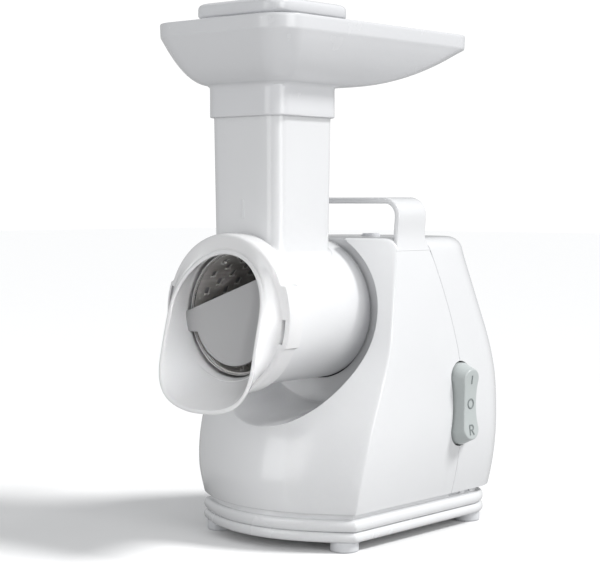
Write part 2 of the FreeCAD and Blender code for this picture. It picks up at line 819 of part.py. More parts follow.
def baffle():
    """A flat plate across the drum's mouth, open above a slanting edge."""
    front = sleeve_end - size("baffle_thickness")
    disc = turned(size("drum_radius") - size("baffle_inset"), front, sleeve_end)
    arms = Part.makeBox(2 * sleeve, size("baffle_thickness"), 18,
                        Vector(-sleeve, front, axis_z - 13))
    slab = Part.makeBox(200, 40, 100, Vector(-100, front - 20, 0))
    slab.rotate(Vector(), Vector(0, 1, 0), -20)
    slab.translate(Vector(0, 0, axis_z + 14.5))
    return disc.fuse(arms).cut(slab).common(turned(sleeve - 0.5, front, sleeve_end))


cap = cap.fuse(baffle())


def ear_slot(turn):
    """A curved blind slot in an ear's front, swept down from a direction about the axis."""
    outer = cap_radius - 0.6
    inner = outer - size("ear_slot_width")
    sweep = size("ear_slot_sweep")
    def sector(radius):
        block = Part.makeCylinder(radius, size("ear_slot_depth") + 8,
                                  Vector(0, cap_face - 8, axis_z), Vector(0, 1, 0), sweep)
        start = math.atan2(block.CenterOfMass.z - axis_z, block.CenterOfMass.x)
        block.rotate(Vector(0, 0, axis_z), Vector(0, 1, 0), math.degrees(start) - turn)
        return block
    return sector(outer).cut(sector(inner))


slot_middle = -size("ear_slot_turn") - size("ear_slot_sweep") / 2
cap = cap.cut(ear_slot(slot_middle)).cut(ear_slot(180 + slot_middle))
node("front_cap", solid("front_cap_solid", cap))

# ---------------------------------------------------------------- hopper tray

tube_half_x = size("tube_width") / 2 + size("tube_taper") / 2
tube_half_y = size("tube_depth") / 2 + size("tube_taper") / 2
tube_y = size("tube_centre")
tray_half_y = (size("tray_rear") - size("tray_front")) / 2
tray_y = (size("tray_rear") + size("tray_front")) / 2
collar = size("collar_grow")
tray_half_x = size("tray_half_width")
tray_corner = size("tray_corner")
neck_corner = size("tube_corner") + collar


def bowl_wire(level, inset, lift):
    """One section of the bowl; level runs from 0 at the neck to 1 at the rim band."""
    spread = math.sqrt(level)
    def blend(near, far):
        return near + (far - near) * spread
    z = collar_top + (tray_rim_low - collar_top) * level + lift
    return rounded_rectangle(blend(tube_half_x + collar, tray_half_x - 0.5) - inset,
                             blend(tube_half_y + collar, tray_half_y - 0.5) - inset,
                             blend(tube_y, tray_y), blend(neck_corner, tray_corner) - inset, z)


def rim_wire(inset, z):
    return rounded_rectangle(tray_half_x - inset, tray_half_y - inset, tray_y,
                             tray_corner - inset, z)


LEVELS = (0.0, 0.03, 0.12, 0.3, 0.55, 0.8, 1.0)
bowl = loft([bowl_wire(level, 0, 0) for level in LEVELS])
rim_band = loft([rim_wire(0.5, tray_rim_low), rim_wire(0, tray_rim_top)], True)
bowl_hollow = loft([bowl_wire(level, size("tray_wall"), size("tray_wall")) for level in LEVELS])
rim_hollow = loft([rim_wire(size("tray_wall") + 0.5, tray_rim_low + size("tray_wall")),
                   rim_wire(size("tray_wall"), tray_rim_top + 1)], True)
collar_block = prism(rounded_rectangle(tube_half_x + collar, tube_half_y + collar, tube_y,
                                       neck_corner, collar_bottom),
                     collar_top - collar_bottom + 1)
collar_bore = prism(rounded_rectangle(tube_half_x + size("slip_gap"),
                                      tube_half_y + size("slip_gap"), tube_y,
                                      size("tube_corner") + size("slip_gap"), collar_bottom - 1),
                    tube_top + size("slip_gap") - collar_bottom + 1)
throat_wire = rounded_rectangle(tube_half_x - size("tube_wall"), tube_half_y - size("tube_wall"),
                                tube_y, size("tube_corner") - size("tube_wall"), collar_bottom)
tray = bowl.fuse(rim_band).fuse(collar_block)
tray = tray.cut(bowl_hollow).cut(rim_hollow).cut(collar_bore).cut(prism(throat_wire, 60))
node("hopper_tray", solid("hopper_tray_solid", tray))

# ---------------------------------------------------------------- pusher

push_x = tube_half_x - size("tube_taper") - size("tube_wall") - size("pusher_gap")
push_y = tube_half_y - size("tube_taper") - size("tube_wall") - size("pusher_gap")
push_r = size("tube_corner") - size("tube_wall")
cap_under = pusher_top - size("pusher_cap_thickness")
floor_z = collar_top + size("tray_wall") + 1.2
column = prism(rounded_rectangle(push_x, push_y, tube_y, push_r, pusher_bottom), cap_under - pusher_bottom)
flange = prism(rounded_rectangle(push_x + 6, push_y + 6, tube_y, push_r + 6, floor_z),
               size("stop_flange"))
core = prism(rounded_rectangle(push_x - size("pusher_wall"), push_y - size("pusher_wall"), tube_y,
                               push_r - size("pusher_wall"), pusher_bottom + size("pusher_wall")), 400)
node("pusher_body", solid("pusher_body_solid", column.fuse(flange).cut(core)))

cap_half = size("pusher_cap_half")


def cap_wire(inset, z):
    return rounded_rectangle(cap_half - inset, cap_half - inset, tube_y,
                             size("pusher_cap_corner") - inset, z)


cap_solid = loft([cap_wire(1.0, cap_under), cap_wire(0, cap_under + 1.5),
                  cap_wire(0, pusher_top - 3), cap_wire(0.8, pusher_top - 1.2),
                  cap_wire(3.0, pusher_top)], True)
plug = prism(rounded_rectangle(push_x - size("pusher_wall"), push_y - size("pusher_wall"), tube_y,
                               push_r - size("pusher_wall"), cap_under - 6), 7)
node("pusher_cap", solid("pusher_cap_solid", cap_solid.fuse(plug)))

# ---------------------------------------------------------------- gear train

SLOW = size("module_slow")
FAST = size("module_fast")
slow_centres = SLOW * (size("teeth_output") + size("teeth_pinion")) / 2
fast_centres = FAST * (size("teeth_wheel") + size("teeth_motor")) / 2
counter_z = axis_z - slow_centres
motor_z = counter_z - fast_centres


def gear(teeth, module, height, low, length, first_tooth, bore):
    """A spur gear with involute flanks; first_tooth is the angle of a tooth's middle."""
    pressure = math.radians(20)
    pitch_r = teeth * module / 2
    base_r = pitch_r * math.cos(pressure)
    tip_r = pitch_r + 0.8 * module
    root_r = pitch_r - 1.1 * module
    half = (math.pi / 2 - size("backlash") / module / 2) / teeth
    half += math.tan(pressure) - pressure
    start = max(base_r, root_r)
    radii = [start + (tip_r - start) * k / 4.0 for k in range(5)]
    def at(radius, angle):
        return Vector(radius * math.cos(angle), low, height + radius * math.sin(angle))
    def flank(radius):
        a = math.acos(min(1.0, base_r / radius))
        return half - (math.tan(a) - a)
    edges = []
    step = 2 * math.pi / teeth
    for k in range(int(teeth)):
        middle = first_tooth + step * k
        rise = [at(r, middle - flank(r)) for r in radii]
        fall = [at(r, middle + flank(r)) for r in reversed(radii)]
        root_in = at(root_r, middle - flank(start))
        root_out = at(root_r, middle + flank(start))
        if root_r < base_r:
            edges.append(Part.makeLine(root_in, rise[0]))
        curve = Part.BSplineCurve()
        curve.interpolate(rise)
        edges.append(curve.toShape())
        edges.append(Part.Arc(rise[-1], at(tip_r, middle), fall[0]).toShape())
        curve = Part.BSplineCurve()
        curve.interpolate(fall)
        edges.append(curve.toShape())
        if root_r < base_r:
            edges.append(Part.makeLine(fall[-1], root_out))
        next_in = at(root_r, middle + step - flank(start))
        edges.append(Part.Arc(root_out, at(root_r, middle + step / 2), next_in).toShape())
    blank = Part.Face(Part.Wire(edges)).extrude(Vector(0, length, 0))
    hole_rod = Part.makeCylinder(bore, length + 2, Vector(0, low - 1, height), Vector(0, 1, 0))
    return blank.cut(hole_rod)


down = -math.pi / 2
box_front = size("gearbox_front")
slow_low = box_front + size("gearbox_wall") + size("gear_clearance")
slow_high = slow_low + size("slow_face")
fast_low = slow_high + 3
fast_high = fast_low + size("fast_face")
box_rear = fast_high + size("gear_clearance") + size("gearbox_wall") + 2
shaft_r = size("shaft_radius")
counter_r = size("countershaft_radius")
rotor_r = size("rotor_shaft_radius")

output_gear = gear(size("teeth_output"), SLOW, axis_z, slow_low, size("slow_face"), down, shaft_r)
for k in range(6):
    a = math.radians(60 * k + 30)
    output_gear = output_gear.cut(Part.makeCylinder(
        6, 40, Vector(21 * math.cos(a), slow_low - 5, axis_z + 21 * math.sin(a)), Vector(0, 1, 0)))
node("output_gear", solid("output_gear_solid", output_gear))
node("intermediate_pinion", solid("intermediate_pinion_solid", gear(
    size("teeth_pinion"), SLOW, counter_z, slow_low - 0.5, size("slow_face") + 1,
    math.pi / 2 + math.pi / size("teeth_pinion"), counter_r)))
node("intermediate_gear", solid("intermediate_gear_solid", gear(
    size("teeth_wheel"), FAST, counter_z, fast_low, size("fast_face"), down, counter_r)))
motor_pinion = gear(size("teeth_motor"), FAST, motor_z, fast_low - 0.5, size("fast_face") + 1,
                    math.pi / 2 + math.pi / size("teeth_motor"), rotor_r - 1)
node("motor_pinion", solid("motor_pinion_solid", motor_pinion))


def along(radius, height, low, high):
    return Part.makeCylinder(radius, high - low, Vector(0, low, height), Vector(0, 1, 0))


drive_start = size("drum_rear") + 8
output_shaft = along(shaft_r, axis_z, socket_low + 6, box_rear - 1)
square = size("drive_square")
output_shaft = output_shaft.fuse(Part.makeBox(square, socket_low + 7 - drive_start, square, Vector(
    -square / 2, drive_start, axis_z - square / 2)).common(along(shaft_r + 0.6, axis_z, drive_start, 0)))
node("output_shaft", solid("output_shaft_solid", output_shaft))
node("intermediate_shaft", solid("intermediate_shaft_solid", along(
    counter_r, counter_z, box_front + 1, box_rear - 1)))

# gearbox: a cup round the gears and a front cover
tip_slow = SLOW * (size("teeth_output") / 2 + 1) + size("gear_clearance")
tip_fast = FAST * (size("teeth_wheel") / 2 + 1) + size("gear_clearance")
nose_r = size("bearing_radius") + size("gearbox_wall")
shell_t = size("gearbox_wall")
split = box_front + shell_t


def gearbox_profile(grow, low, high):
    shape = along(tip_slow + grow, axis_z, low, high)
    shape = shape.fuse(along(tip_fast + grow, counter_z, low, high))
    return shape.fuse(along(nose_r - shell_t + grow, motor_z, low, high))


bearing_low = box_rear - 1
bearing_r = size("bearing_radius")
cup = gearbox_profile(shell_t, split, box_rear)
cup = cup.fuse(along(nose_r, motor_z, fast_low, box_rear + 5))
cup = cup.cut(gearbox_profile(0, split - 1, fast_high + size("gear_clearance")))
cup = cup.cut(along(bearing_r, motor_z, bearing_low, box_rear + 6))
cup = cup.cut(along(rotor_r + 1.5, motor_z, fast_low, box_rear + 6))
cup = cup.cut(along(shaft_r + size("running_gap"), axis_z, fast_high, box_rear - 0.6))
cup = cup.cut(along(counter_r + size("running_gap"), counter_z, fast_high, box_rear - 0.6))
bolt_spots = []
for hub_z, reach, angle in ((axis_z, tip_slow, 40), (counter_z, tip_fast, -45)):
    for side in (-1, 1):
        a = math.radians(angle)
        far = reach + shell_t + 2
        bolt_spots.append((side * far * math.cos(a), hub_z + far * math.sin(a)))
for x, z in bolt_spots:
    cup = cup.fuse(Part.makeCylinder(5, 14, Vector(x, split, z), Vector(0, 1, 0)).cut(
        gearbox_profile(0.5, split - 1, box_rear)))
    cup = cup.cut(Part.makeCylinder(1.6, 11, Vector(x, split - 0.1, z), Vector(0, 1, 0)))
node("gearbox_housing", solid("gearbox_housing_solid", cup))

bushing_r = shaft_r + 3
front_plate = gearbox_profile(shell_t, box_front, split)
for x, z in bolt_spots:
    front_plate = front_plate.fuse(Part.makeCylinder(5, shell_t, Vector(x, box_front, z),
                                                     Vector(0, 1, 0)))
front_plate = front_plate.fuse(along(bushing_r + 3, axis_z, box_front - 3, split))
front_plate = front_plate.cut(along(bushing_r, axis_z, box_front - 4, split + 1))
front_plate = front_plate.cut(along(counter_r + size("running_gap"), counter_z, box_front + 0.6,
                                    split + 1))
for x, z in bolt_spots:
    front_plate = front_plate.cut(Part.makeCylinder(1.9, 20, Vector(x, box_front - 5, z),
                                                    Vector(0, 1, 0)))
node("gearbox_cover", solid("gearbox_cover_solid", front_plate))

bolts = []
for x, z in bolt_spots:
    head = Part.makeCylinder(3.2, size("screw_head"), Vector(x, box_front - size("screw_head"), z),
                             Vector(0, 1, 0))
    bolts.append(head.fuse(Part.makeCylinder(1.6, 11, Vector(x, box_front - 1, z),
                                             Vector(0, 1, 0))))
node("gearbox_screws", solid("gearbox_screws_solid", Part.makeCompound(bolts)))
node("output_bushing", solid("output_bushing_solid", along(
    bushing_r, axis_z, box_front - 3, split).cut(
        along(shaft_r + size("running_gap"), axis_z, box_front - 5, split + 5))))

# ---------------------------------------------------------------- motor

motor_front = box_rear + 5
fan_low = motor_front + 2
stack_low = fan_low + 16
rear_inside = rear_line(motor_z) - wall - size("motor_rear_gap")
stack_high = rear_inside - 28
commutator_low = stack_high + 8
commutator_high = commutator_low + 10
plate_low = commutator_high + 2
plate_high = plate_low + 7

rotor_shaft = along(rotor_r - 1, motor_z, fast_low - 1, box_rear - 2)
rotor_shaft = rotor_shaft.fuse(along(rotor_r, motor_z, box_rear - 2, plate_high))
node("rotor_shaft", solid("rotor_shaft_solid", rotor_shaft))
node("motor_front_bearing", solid("motor_front_bearing_solid", along(
    bearing_r, motor_z, bearing_low, motor_front).cut(
        along(rotor_r + size("running_gap"), motor_z, 0, plate_high))))

fan = along(rotor_r + 5, motor_z, fan_low, fan_low + 9).fuse(
    along(size("fan_radius"), motor_z, fan_low, fan_low + 1.6))
for k in range(11):
    blade = Part.makeBox(size("fan_radius") - rotor_r - 3, 9, 1.2,
                         Vector(rotor_r + 2.5, fan_low, -0.6))
    blade.rotate(Vector(), Vector(0, 1, 0), 360.0 * k / 11)
    blade.translate(Vector(0, 0, motor_z))
    fan = fan.fuse(blade)
node("cooling_fan", solid("cooling_fan_solid", fan.cut(along(rotor_r, motor_z, 0, plate_high))))

rotor = along(size("rotor_radius"), motor_z, stack_low, stack_high)
for k in range(12):
    slot = Part.makeBox(4.5, stack_high - stack_low + 2, 1.6,
                        Vector(size("rotor_radius") - 3.5, stack_low - 1, -0.8))
    slot.rotate(Vector(), Vector(0, 1, 0), 30.0 * k)
    slot.translate(Vector(0, 0, motor_z))
    rotor = rotor.cut(slot)
node("rotor_core", solid("rotor_core_solid", rotor.cut(along(rotor_r, motor_z, 0, plate_high))))
node("commutator", solid("commutator_solid", along(
    size("commutator_radius"), motor_z, commutator_low, commutator_high).cut(
        along(rotor_r, motor_z, 0, plate_high))))

stator_w = size("stator_width")
stator_h = size("stator_height")
bore_r = size("rotor_radius") + size("air_gap")
stack = stack_high - stack_low


def upright_box(x, y, z, centre_x, low_y, centre_z):
    return Part.makeBox(x, y, z, Vector(centre_x - x / 2, low_y, centre_z - z / 2))


stator = upright_box(stator_w, stack, stator_h, 0, stack_low, motor_z)
stator = stator.cut(along(bore_r, motor_z, stack_low - 1, stack_high + 1))
for sx in (-1, 1):
    for sz in (-1, 1):
        stator = stator.cut(upright_box(9, stack + 2, 8, sx * 18.5, stack_low - 1,
                                        motor_z + sz * 20))
node("motor_stator", solid("motor_stator_solid", stator))

coils = []
for sz in (-1, 1):
    outer_loop = upright_box(45, stack + 11, 6.4, 0, stack_low - 5.5, motor_z + sz * 20)
    inner_loop = upright_box(29, stack + 1, 10, 0, stack_low - 0.5, motor_z + sz * 20)
    coils.append(outer_loop.cut(inner_loop))
node("field_coils", solid("field_coils_solid", Part.makeCompound(coils)))

rear_plate = upright_box(stator_w, plate_high - plate_low, 26, 0, plate_low, motor_z)
for sx in (-1, 1):
    rear_plate = rear_plate.fuse(upright_box(6, plate_low + 1 - stack_high, 12,
                                             sx * (stator_w / 2 - 3), stack_high, motor_z))
rear_plate = rear_plate.cut(along(bearing_r, motor_z, plate_low - 1, plate_high - 1.5))
node("motor_rear_bracket", solid("motor_rear_bracket_solid", rear_plate.cut(
    along(rotor_r + 1.5, motor_z, plate_low, plate_high + 2))))
node("motor_rear_bearing", solid("motor_rear_bearing_solid", along(
    bearing_r, motor_z, plate_low, plate_high - 1.5).cut(
        along(rotor_r + size("running_gap"), motor_z, 0, plate_high))))

brushes = []
brush_in = size("commutator_radius") + size("slip_gap")
brush_out = stator_w / 2 - 6
for sx in (-1, 1):
    brushes.append(upright_box(brush_out - brush_in, 7, 6, sx * (brush_in + brush_out) / 2,
                               commutator_low + 1.5, motor_z))
node("brush_holders", solid("brush_holders_solid", Part.makeCompound(brushes)))

# ---------------------------------------------------------------- rocker switch

skin_x = half_width(size("switch_height"))
pivot_x = skin_x - 7
rocker_len = size("rocker_length")
rocker_wid = size("rocker_width")
switch_z = size("switch_height")
switch_y = size("seam_low")


def waisted(draft, end_draft, x):
    """An upright lozenge with full round ends and a drawn-in waist, facing +X."""
    end_r = size("rocker_width") / 2 - draft
    top = size("rocker_length") / 2 - end_draft
    waist = size("rocker_waist")
    def at(y, z):
        return Vector(x, switch_y + y, switch_z + z)
    return Part.Wire([
        Part.Arc(at(end_r, top - end_r), at(0, top), at(-end_r, top - end_r)).toShape(),
        Part.Arc(at(-end_r, top - end_r), at(-end_r + waist, 0), at(-end_r, end_r - top)).toShape(),
        Part.Arc(at(-end_r, end_r - top), at(0, -top), at(end_r, end_r - top)).toShape(),
        Part.Arc(at(end_r, end_r - top), at(end_r - waist, 0), at(end_r, top - end_r)).toShape(),
    ])


face_x = skin_x + size("rocker_proud")
rocker = loft([waisted(0, 0, pivot_x - 2), waisted(0, 0, skin_x + 1),
               waisted(size("rocker_draft"), size("rocker_end_draft"), face_x)], True)
face_half = size("rocker_length") / 2 - size("rocker_end_draft")
depth = size("rocker_scoop")
scoop_r = (face_half ** 2 + depth ** 2) / (2 * depth)
scoop = Part.makeCylinder(scoop_r, 60, Vector(face_x + scoop_r - depth, switch_y - 30, switch_z),
                          Vector(0, 1, 0))
pivot_hole = Part.makeCylinder(1.6, 60, Vector(pivot_x, switch_y - 30, switch_z), Vector(0, 1, 0))
node("rocker_switch", solid("rocker_switch_solid", rocker.cut(scoop).cut(pivot_hole)))

case_x = pivot_x - 6.5
case = Part.makeBox(20, rocker_wid + 3, rocker_len - 6, Vector(
    case_x - 20, switch_y - rocker_wid / 2 - 1.5, switch_z - rocker_len / 2 + 3))
cheeks = []
for sy in (-1, 1):
    cheek = Part.makeBox(9.5, 1.2, 9, Vector(case_x - 0.5, switch_y + sy * (rocker_wid / 2 + 1.4) - 0.6,
                                           switch_z - 4.5))
    case = case.fuse(cheek)
pin = Part.makeCylinder(1.55, rocker_wid + 2.8, Vector(pivot_x, switch_y - rocker_wid / 2 - 1.4,
                                                       switch_z), Vector(0, 1, 0))
node("switch_body", solid("switch_body_solid", case.fuse(pin)))

# ---------------------------------------------------------------- release button, inlet, board

node("release_button", padded_rings("release_button_body", [
    ("2.5", None, "0", "13"),
    ("button_radius", None, "13", "23"),
    ("button_radius - 0.8", None, "23", "23.8"),
], (0, "button_y", "axis_height + top_over_axis - 22"), UPRIGHT))

guide_low = BODY_TOP - 17
guide_floor = 2.4
guide = Part.makeBox(24, 18, guide_floor, Vector(-12, size("button_y") - 9, guide_low))
for left in (-12, 10):
    guide = guide.fuse(Part.makeBox(2, 18, BODY_TOP - wall - guide_low,
                                    Vector(left, size("button_y") - 9, guide_low)))
guide = guide.cut(Part.makeCylinder(2.9, 40, Vector(0, size("button_y"), BODY_TOP - 30)))
node("button_guide", solid("button_guide_solid", guide))

coil_low = guide_low + guide_floor
coil_turns = 3.0
coil_height = 17 - guide_floor - 9
spring_path = Part.makeHelix((coil_height - 1.4) / coil_turns, coil_height - 1.4, 4.2)
wire_r = size("spring_wire")
section = Part.Wire(Part.makeCircle(wire_r, Vector(4.2, 0, 0), Vector(0, 1, 0)))
spring = Part.Wire(spring_path).makePipeShell([section], True, True)
spring.translate(Vector(0, size("button_y"), coil_low + 0.7))
node("release_spring", solid("release_spring_solid", spring))

node("cable_gland", padded_rings("cable_gland_body", [
    ("gland_radius - 2.4", "3.4", "0", "12.2"),
    ("gland_radius", "3.4", "12.2", "13.8"),
], (0, "body_rear - 12", "gland_height")))

board_x = half_width(60) - wall - 12
board = Part.makeBox(1.6, 34, 40, Vector(-board_x, 62, 40))
for dy, dz, w, l in ((4, 6, 10, 10), (20, 8, 8, 14), (6, 24, 12, 8), (22, 27, 7, 7)):
    board = board.fuse(Part.makeBox(7, l, w, Vector(-board_x + 1.6, 62 + dy, 40 + dz)))
node("control_board", solid("control_board_solid", board))

# ---------------------------------------------------------------- check and export

doc.recompute()
for item in doc.Objects:
    troubles = [state for state in item.State if state in ("Invalid", "Error")]
    if troubles:
        raise RuntimeError("%s: %s" % (item.Name, troubles))
for item in NODES:
    shape = item.Shape
    if shape.isNull() or not shape.isValid() or not shape.Solids:
        raise RuntimeError("%s has no valid solid" % item.Label)

os.makedirs("parts", exist_ok=True)
for item in NODES:
    shape = item.Shape.translated(Vector(-size("centre_shift"), 0, 0))
    shape.exportStep("parts/%s.step" % item.Label)
    print("%-22s %9.0f mm3 %2d solids" % (item.Label, shape.Volume, len(shape.Solids)))
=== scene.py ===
import json
import math

import bmesh
import bpy
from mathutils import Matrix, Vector


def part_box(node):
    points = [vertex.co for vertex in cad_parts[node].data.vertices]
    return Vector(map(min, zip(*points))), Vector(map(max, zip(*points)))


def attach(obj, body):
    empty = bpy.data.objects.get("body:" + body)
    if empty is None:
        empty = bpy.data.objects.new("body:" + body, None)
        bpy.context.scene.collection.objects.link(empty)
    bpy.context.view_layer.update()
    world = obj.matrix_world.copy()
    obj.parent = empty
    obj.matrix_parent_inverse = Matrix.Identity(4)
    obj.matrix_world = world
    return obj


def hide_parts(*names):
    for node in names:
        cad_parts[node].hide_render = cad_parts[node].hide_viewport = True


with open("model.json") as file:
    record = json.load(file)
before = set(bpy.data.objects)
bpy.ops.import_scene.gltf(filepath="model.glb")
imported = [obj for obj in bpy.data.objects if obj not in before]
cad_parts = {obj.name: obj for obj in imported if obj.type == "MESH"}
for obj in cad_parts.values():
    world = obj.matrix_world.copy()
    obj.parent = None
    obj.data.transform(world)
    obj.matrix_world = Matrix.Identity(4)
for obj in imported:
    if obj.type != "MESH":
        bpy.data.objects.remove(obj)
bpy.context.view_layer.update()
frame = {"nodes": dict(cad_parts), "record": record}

MM = 0.001

# ------------------------------------------------------------ driving sizes, mm
# The same laws as the CAD model's, so each piece lies on the solid it stands for.

CENTRE_SHIFT = 4.5
AXIS_Z = 148.0
BODY_BOTTOM = 24.0
BODY_TOP = 194.0
BODY_HALF = 72.4
BOTTOM_TUCK = 8.0
TOP_TUCK = 13.4
FRONT_EDGE = -51.7
TOP_FRONT_LEAN = 49.0
FRONT_BOW = 24.0
BODY_REAR = 122.0
TOP_REAR_LEAN = 27.5
REAR_BOW = 5.0
REAR_CORNER = 35.0
TOP_EDGE = 8.0
SEAM_LOW = 50.0
SEAM_HIGH = 27.6
PANEL_GAP = 0.2
WIDEST_SHARE = 0.32
STATIONS = [(0.0, 0.0, 0.0), (0.12, -0.01, 0.02), (0.30, 0.13, 0.07), (0.45, 0.35, 0.12),
            (0.58, 0.555, 0.30), (0.75, 0.72, 0.66), (0.92, 0.90, 0.95), (1.0, 1.0, 1.0)]
DISH_Z = 142.5
DISH_R = 57.0
DISH_FLOOR = -11.0
DISH_SLOPE = 5.625
HEAD_R = 45.5
HEAD_BORE = 42.0
HEAD_FRONT = -96.5
HEAD_REAR = -12.5
SPIGOT_R = 36.4
SPIGOT_BORE = 32.9
SPIGOT_END = -2.5
HEAD_FLOOR = -16.0
TUBE_Y = -55.8
TUBE_HALF_X = 28.5
TUBE_HALF_Y = 27.6
TUBE_TAPER = 1.6
TUBE_CORNER = 9.0
TUBE_WALL = 2.8
MARK_LOW, MARK_HIGH = 207.0, 219.0
TUBE_TOP = 286.0
COLLAR_LOW = 270.0
COLLAR_TOP = 290.0
RIM_LOW = 319.5
RIM_TOP = 328.5
TRAY_HALF = 57.0
TRAY_FRONT = -110.5
TRAY_REAR = 87.5
TRAY_CORNER = 20.0
NECK_CORNER = 11.3


def share_of(z):
    return (z - BODY_BOTTOM) / (BODY_TOP - BODY_BOTTOM)


def station(share, column):
    """Smooth reading of the station list at a share of the body's height."""
    xs = [entry[0] for entry in STATIONS]
    ys = [entry[column] for entry in STATIONS]
    i = max(0, min(len(xs) - 2, sum(1 for x in xs[1:-1] if x <= share)))
    def slope(k):
        if k in (0, len(xs) - 1):
            k = min(max(k, 1), len(xs) - 1)
            return (ys[k] - ys[k - 1]) / (xs[k] - xs[k - 1])
        return (ys[k + 1] - ys[k - 1]) / (xs[k + 1] - xs[k - 1])
    span = xs[i + 1] - xs[i]
    u = (share - xs[i]) / span
    return ((2 * u ** 3 - 3 * u ** 2 + 1) * ys[i] + (u ** 3 - 2 * u ** 2 + u) * span * slope(i)
            + (3 * u ** 2 - 2 * u ** 3) * ys[i + 1] + (u ** 3 - u ** 2) * span * slope(i + 1))


def half_width(z):
    share = share_of(z)
    if share < WIDEST_SHARE:
        return BODY_HALF - BOTTOM_TUCK * (1 - share / WIDEST_SHARE) ** 2
    return BODY_HALF - TOP_TUCK * ((share - WIDEST_SHARE) / (1 - WIDEST_SHARE)) ** 2


def front_line(z):
    return FRONT_EDGE + TOP_FRONT_LEAN * station(share_of(z), 1)


def rear_line(z):
    return BODY_REAR - TOP_REAR_LEAN * station(share_of(z), 2)


def seam_line(z):
    rise = max(0.0, (share_of(z) - 0.5) / 0.5)
    return SEAM_LOW - (SEAM_LOW - SEAM_HIGH) * rise ** 1.25


def top_drop(z):
    """How far the rounded top edge has drawn in at a height."""
    rise = min(1.0, max(0.0, (z - (BODY_TOP - TOP_EDGE)) / TOP_EDGE))
    return TOP_EDGE * (1 - math.sqrt(max(0.0, 1 - rise * rise)))


# ------------------------------------------------------------ mesh helpers

def spread(low, high, count):
    return [low + (high - low) * k / (count - 1) for k in range(count)]


def skin(rows, loop=True, tube=False, cap_start=False, cap_end=False):
    """Faces over rows of points; loop joins each row's ends, tube joins last row to first."""
    n = len(rows[0])
    points = [p for row in rows for p in row]
    faces = []
    for r in range(len(rows) if tube else len(rows) - 1):
        after = (r + 1) % len(rows)
        for k in range(n if loop else n - 1):
            nxt = (k + 1) % n
            faces.append((r * n + k, r * n + nxt, after * n + nxt, after * n + k))
    if cap_start:
        faces.append(tuple(range(n - 1, -1, -1)))
    if cap_end:
        faces.append(tuple((len(rows) - 1) * n + k for k in range(n)))
    return points, faces


def joined(*parts):
    """Several (points, faces) pairs as one."""
    points, faces = [], []
    for some_points, some_faces in parts:
        start = len(points)
        points += some_points
        faces += [tuple(i + start for i in face) for face in some_faces]
    return points, faces


def build(name, shape, material, body, replaces=(), sharp=38, merge=0.01):
    """A mesh piece from points in millimetres, smooth except where it turns sharply."""
    mesh = bpy.data.meshes.new(name)
    mesh.from_pydata([((x - CENTRE_SHIFT) * MM, y * MM, z * MM) for x, y, z in shape[0]], [],
                     shape[1])
    tidy = bmesh.new()
    tidy.from_mesh(mesh)
    bmesh.ops.remove_doubles(tidy, verts=tidy.verts, dist=merge * MM)
    bmesh.ops.dissolve_degenerate(tidy, edges=tidy.edges, dist=merge * MM / 2)
    bmesh.ops.recalc_face_normals(tidy, faces=tidy.faces)
    tidy.to_mesh(mesh)
    tidy.free()
    piece = bpy.data.objects.new(name, mesh)
    bpy.context.scene.collection.objects.link(piece)
    mesh.materials.append(material)
    finish_shading(piece, sharp)
    if body:
        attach(piece, body)
    if replaces:
        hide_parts(*replaces)
    return piece


def finish_shading(piece, sharp):
    piece.data.shade_smooth()
    piece.data.set_sharp_from_angle(angle=math.radians(sharp))


def apply_modifiers(piece, sharp=38):
    graph = bpy.context.evaluated_depsgraph_get()
    fresh = bpy.data.meshes.new_from_object(piece.evaluated_get(graph))
    piece.modifiers.clear()
    piece.data = fresh
    finish_shading(piece, sharp)


def solidify(piece, thickness):
    mod = piece.modifiers.new("wall", "SOLIDIFY")
    mod.thickness = thickness * MM
    mod.offset = -1
    mod.use_even_offset = True
    apply_modifiers(piece)


def carve(piece, shape):
    """Cuts a closed shape out of a piece."""
    tool = build(piece.name + "_tool", shape, piece.data.materials[0], None)
    mod = piece.modifiers.new("cut", "BOOLEAN")
    mod.operation = "DIFFERENCE"
    mod.solver = "EXACT"
    mod.object = tool
    apply_modifiers(piece)
    bpy.data.objects.remove(tool)


def ring_points(radius, y, count=96, centre_z=AXIS_Z):
    return [(radius * math.cos(2 * math.pi * k / count), y,
             centre_z + radius * math.sin(2 * math.pi * k / count)) for k in range(count)]


def lathe(profile, count=96, centre_z=AXIS_Z, tube=True):
    """A turned piece about the drive axis: profile is a list of (radius, y)."""
    return skin([ring_points(max(r, 0.001), y, count, centre_z) for r, y in profile], tube=tube)


def rounded_loop(half_x, half_y, centre_y, radius, z, per_corner=9, per_side=4):
    """A rounded rectangle at a height, as points running anticlockwise."""
    points = []
    for index, (sx, sy) in enumerate(((1, 1), (-1, 1), (-1, -1), (1, -1))):
        hub_x = sx * (half_x - radius)
        hub_y = centre_y + sy * (half_y - radius)
        start = math.pi / 2 * index
        corner = [(hub_x + radius * math.cos(start + math.pi / 2 * k / (per_corner - 1)),
                   hub_y + radius * math.sin(start + math.pi / 2 * k / (per_corner - 1)), z)
                  for k in range(per_corner)]
        if points:
            points += between(points[-1], corner[0], per_side)
        points += corner
    points += between(points[-1], points[0], per_side)
    return points


def circle(radius, count):
    """Points of a circle about the origin, as pairs."""
    return [(radius * math.cos(a), radius * math.sin(a))
            for a in spread(0, 2 * math.pi, count + 1)[:-1]]


def prism(rows):
    """A closed block between rows of points."""
    return skin(rows, cap_start=True, cap_end=True)


def between(a, b, count):
    return [tuple(a[i] + (b[i] - a[i]) * k / (count + 1) for i in range(3))
            for k in range(1, count + 1)]


# ------------------------------------------------------------ materials

def new_material(name):
    material = bpy.data.materials.new(name)
    material.use_nodes = True
    nodes = material.node_tree.nodes
    return material, nodes, material.node_tree.links, nodes["Principled BSDF"]


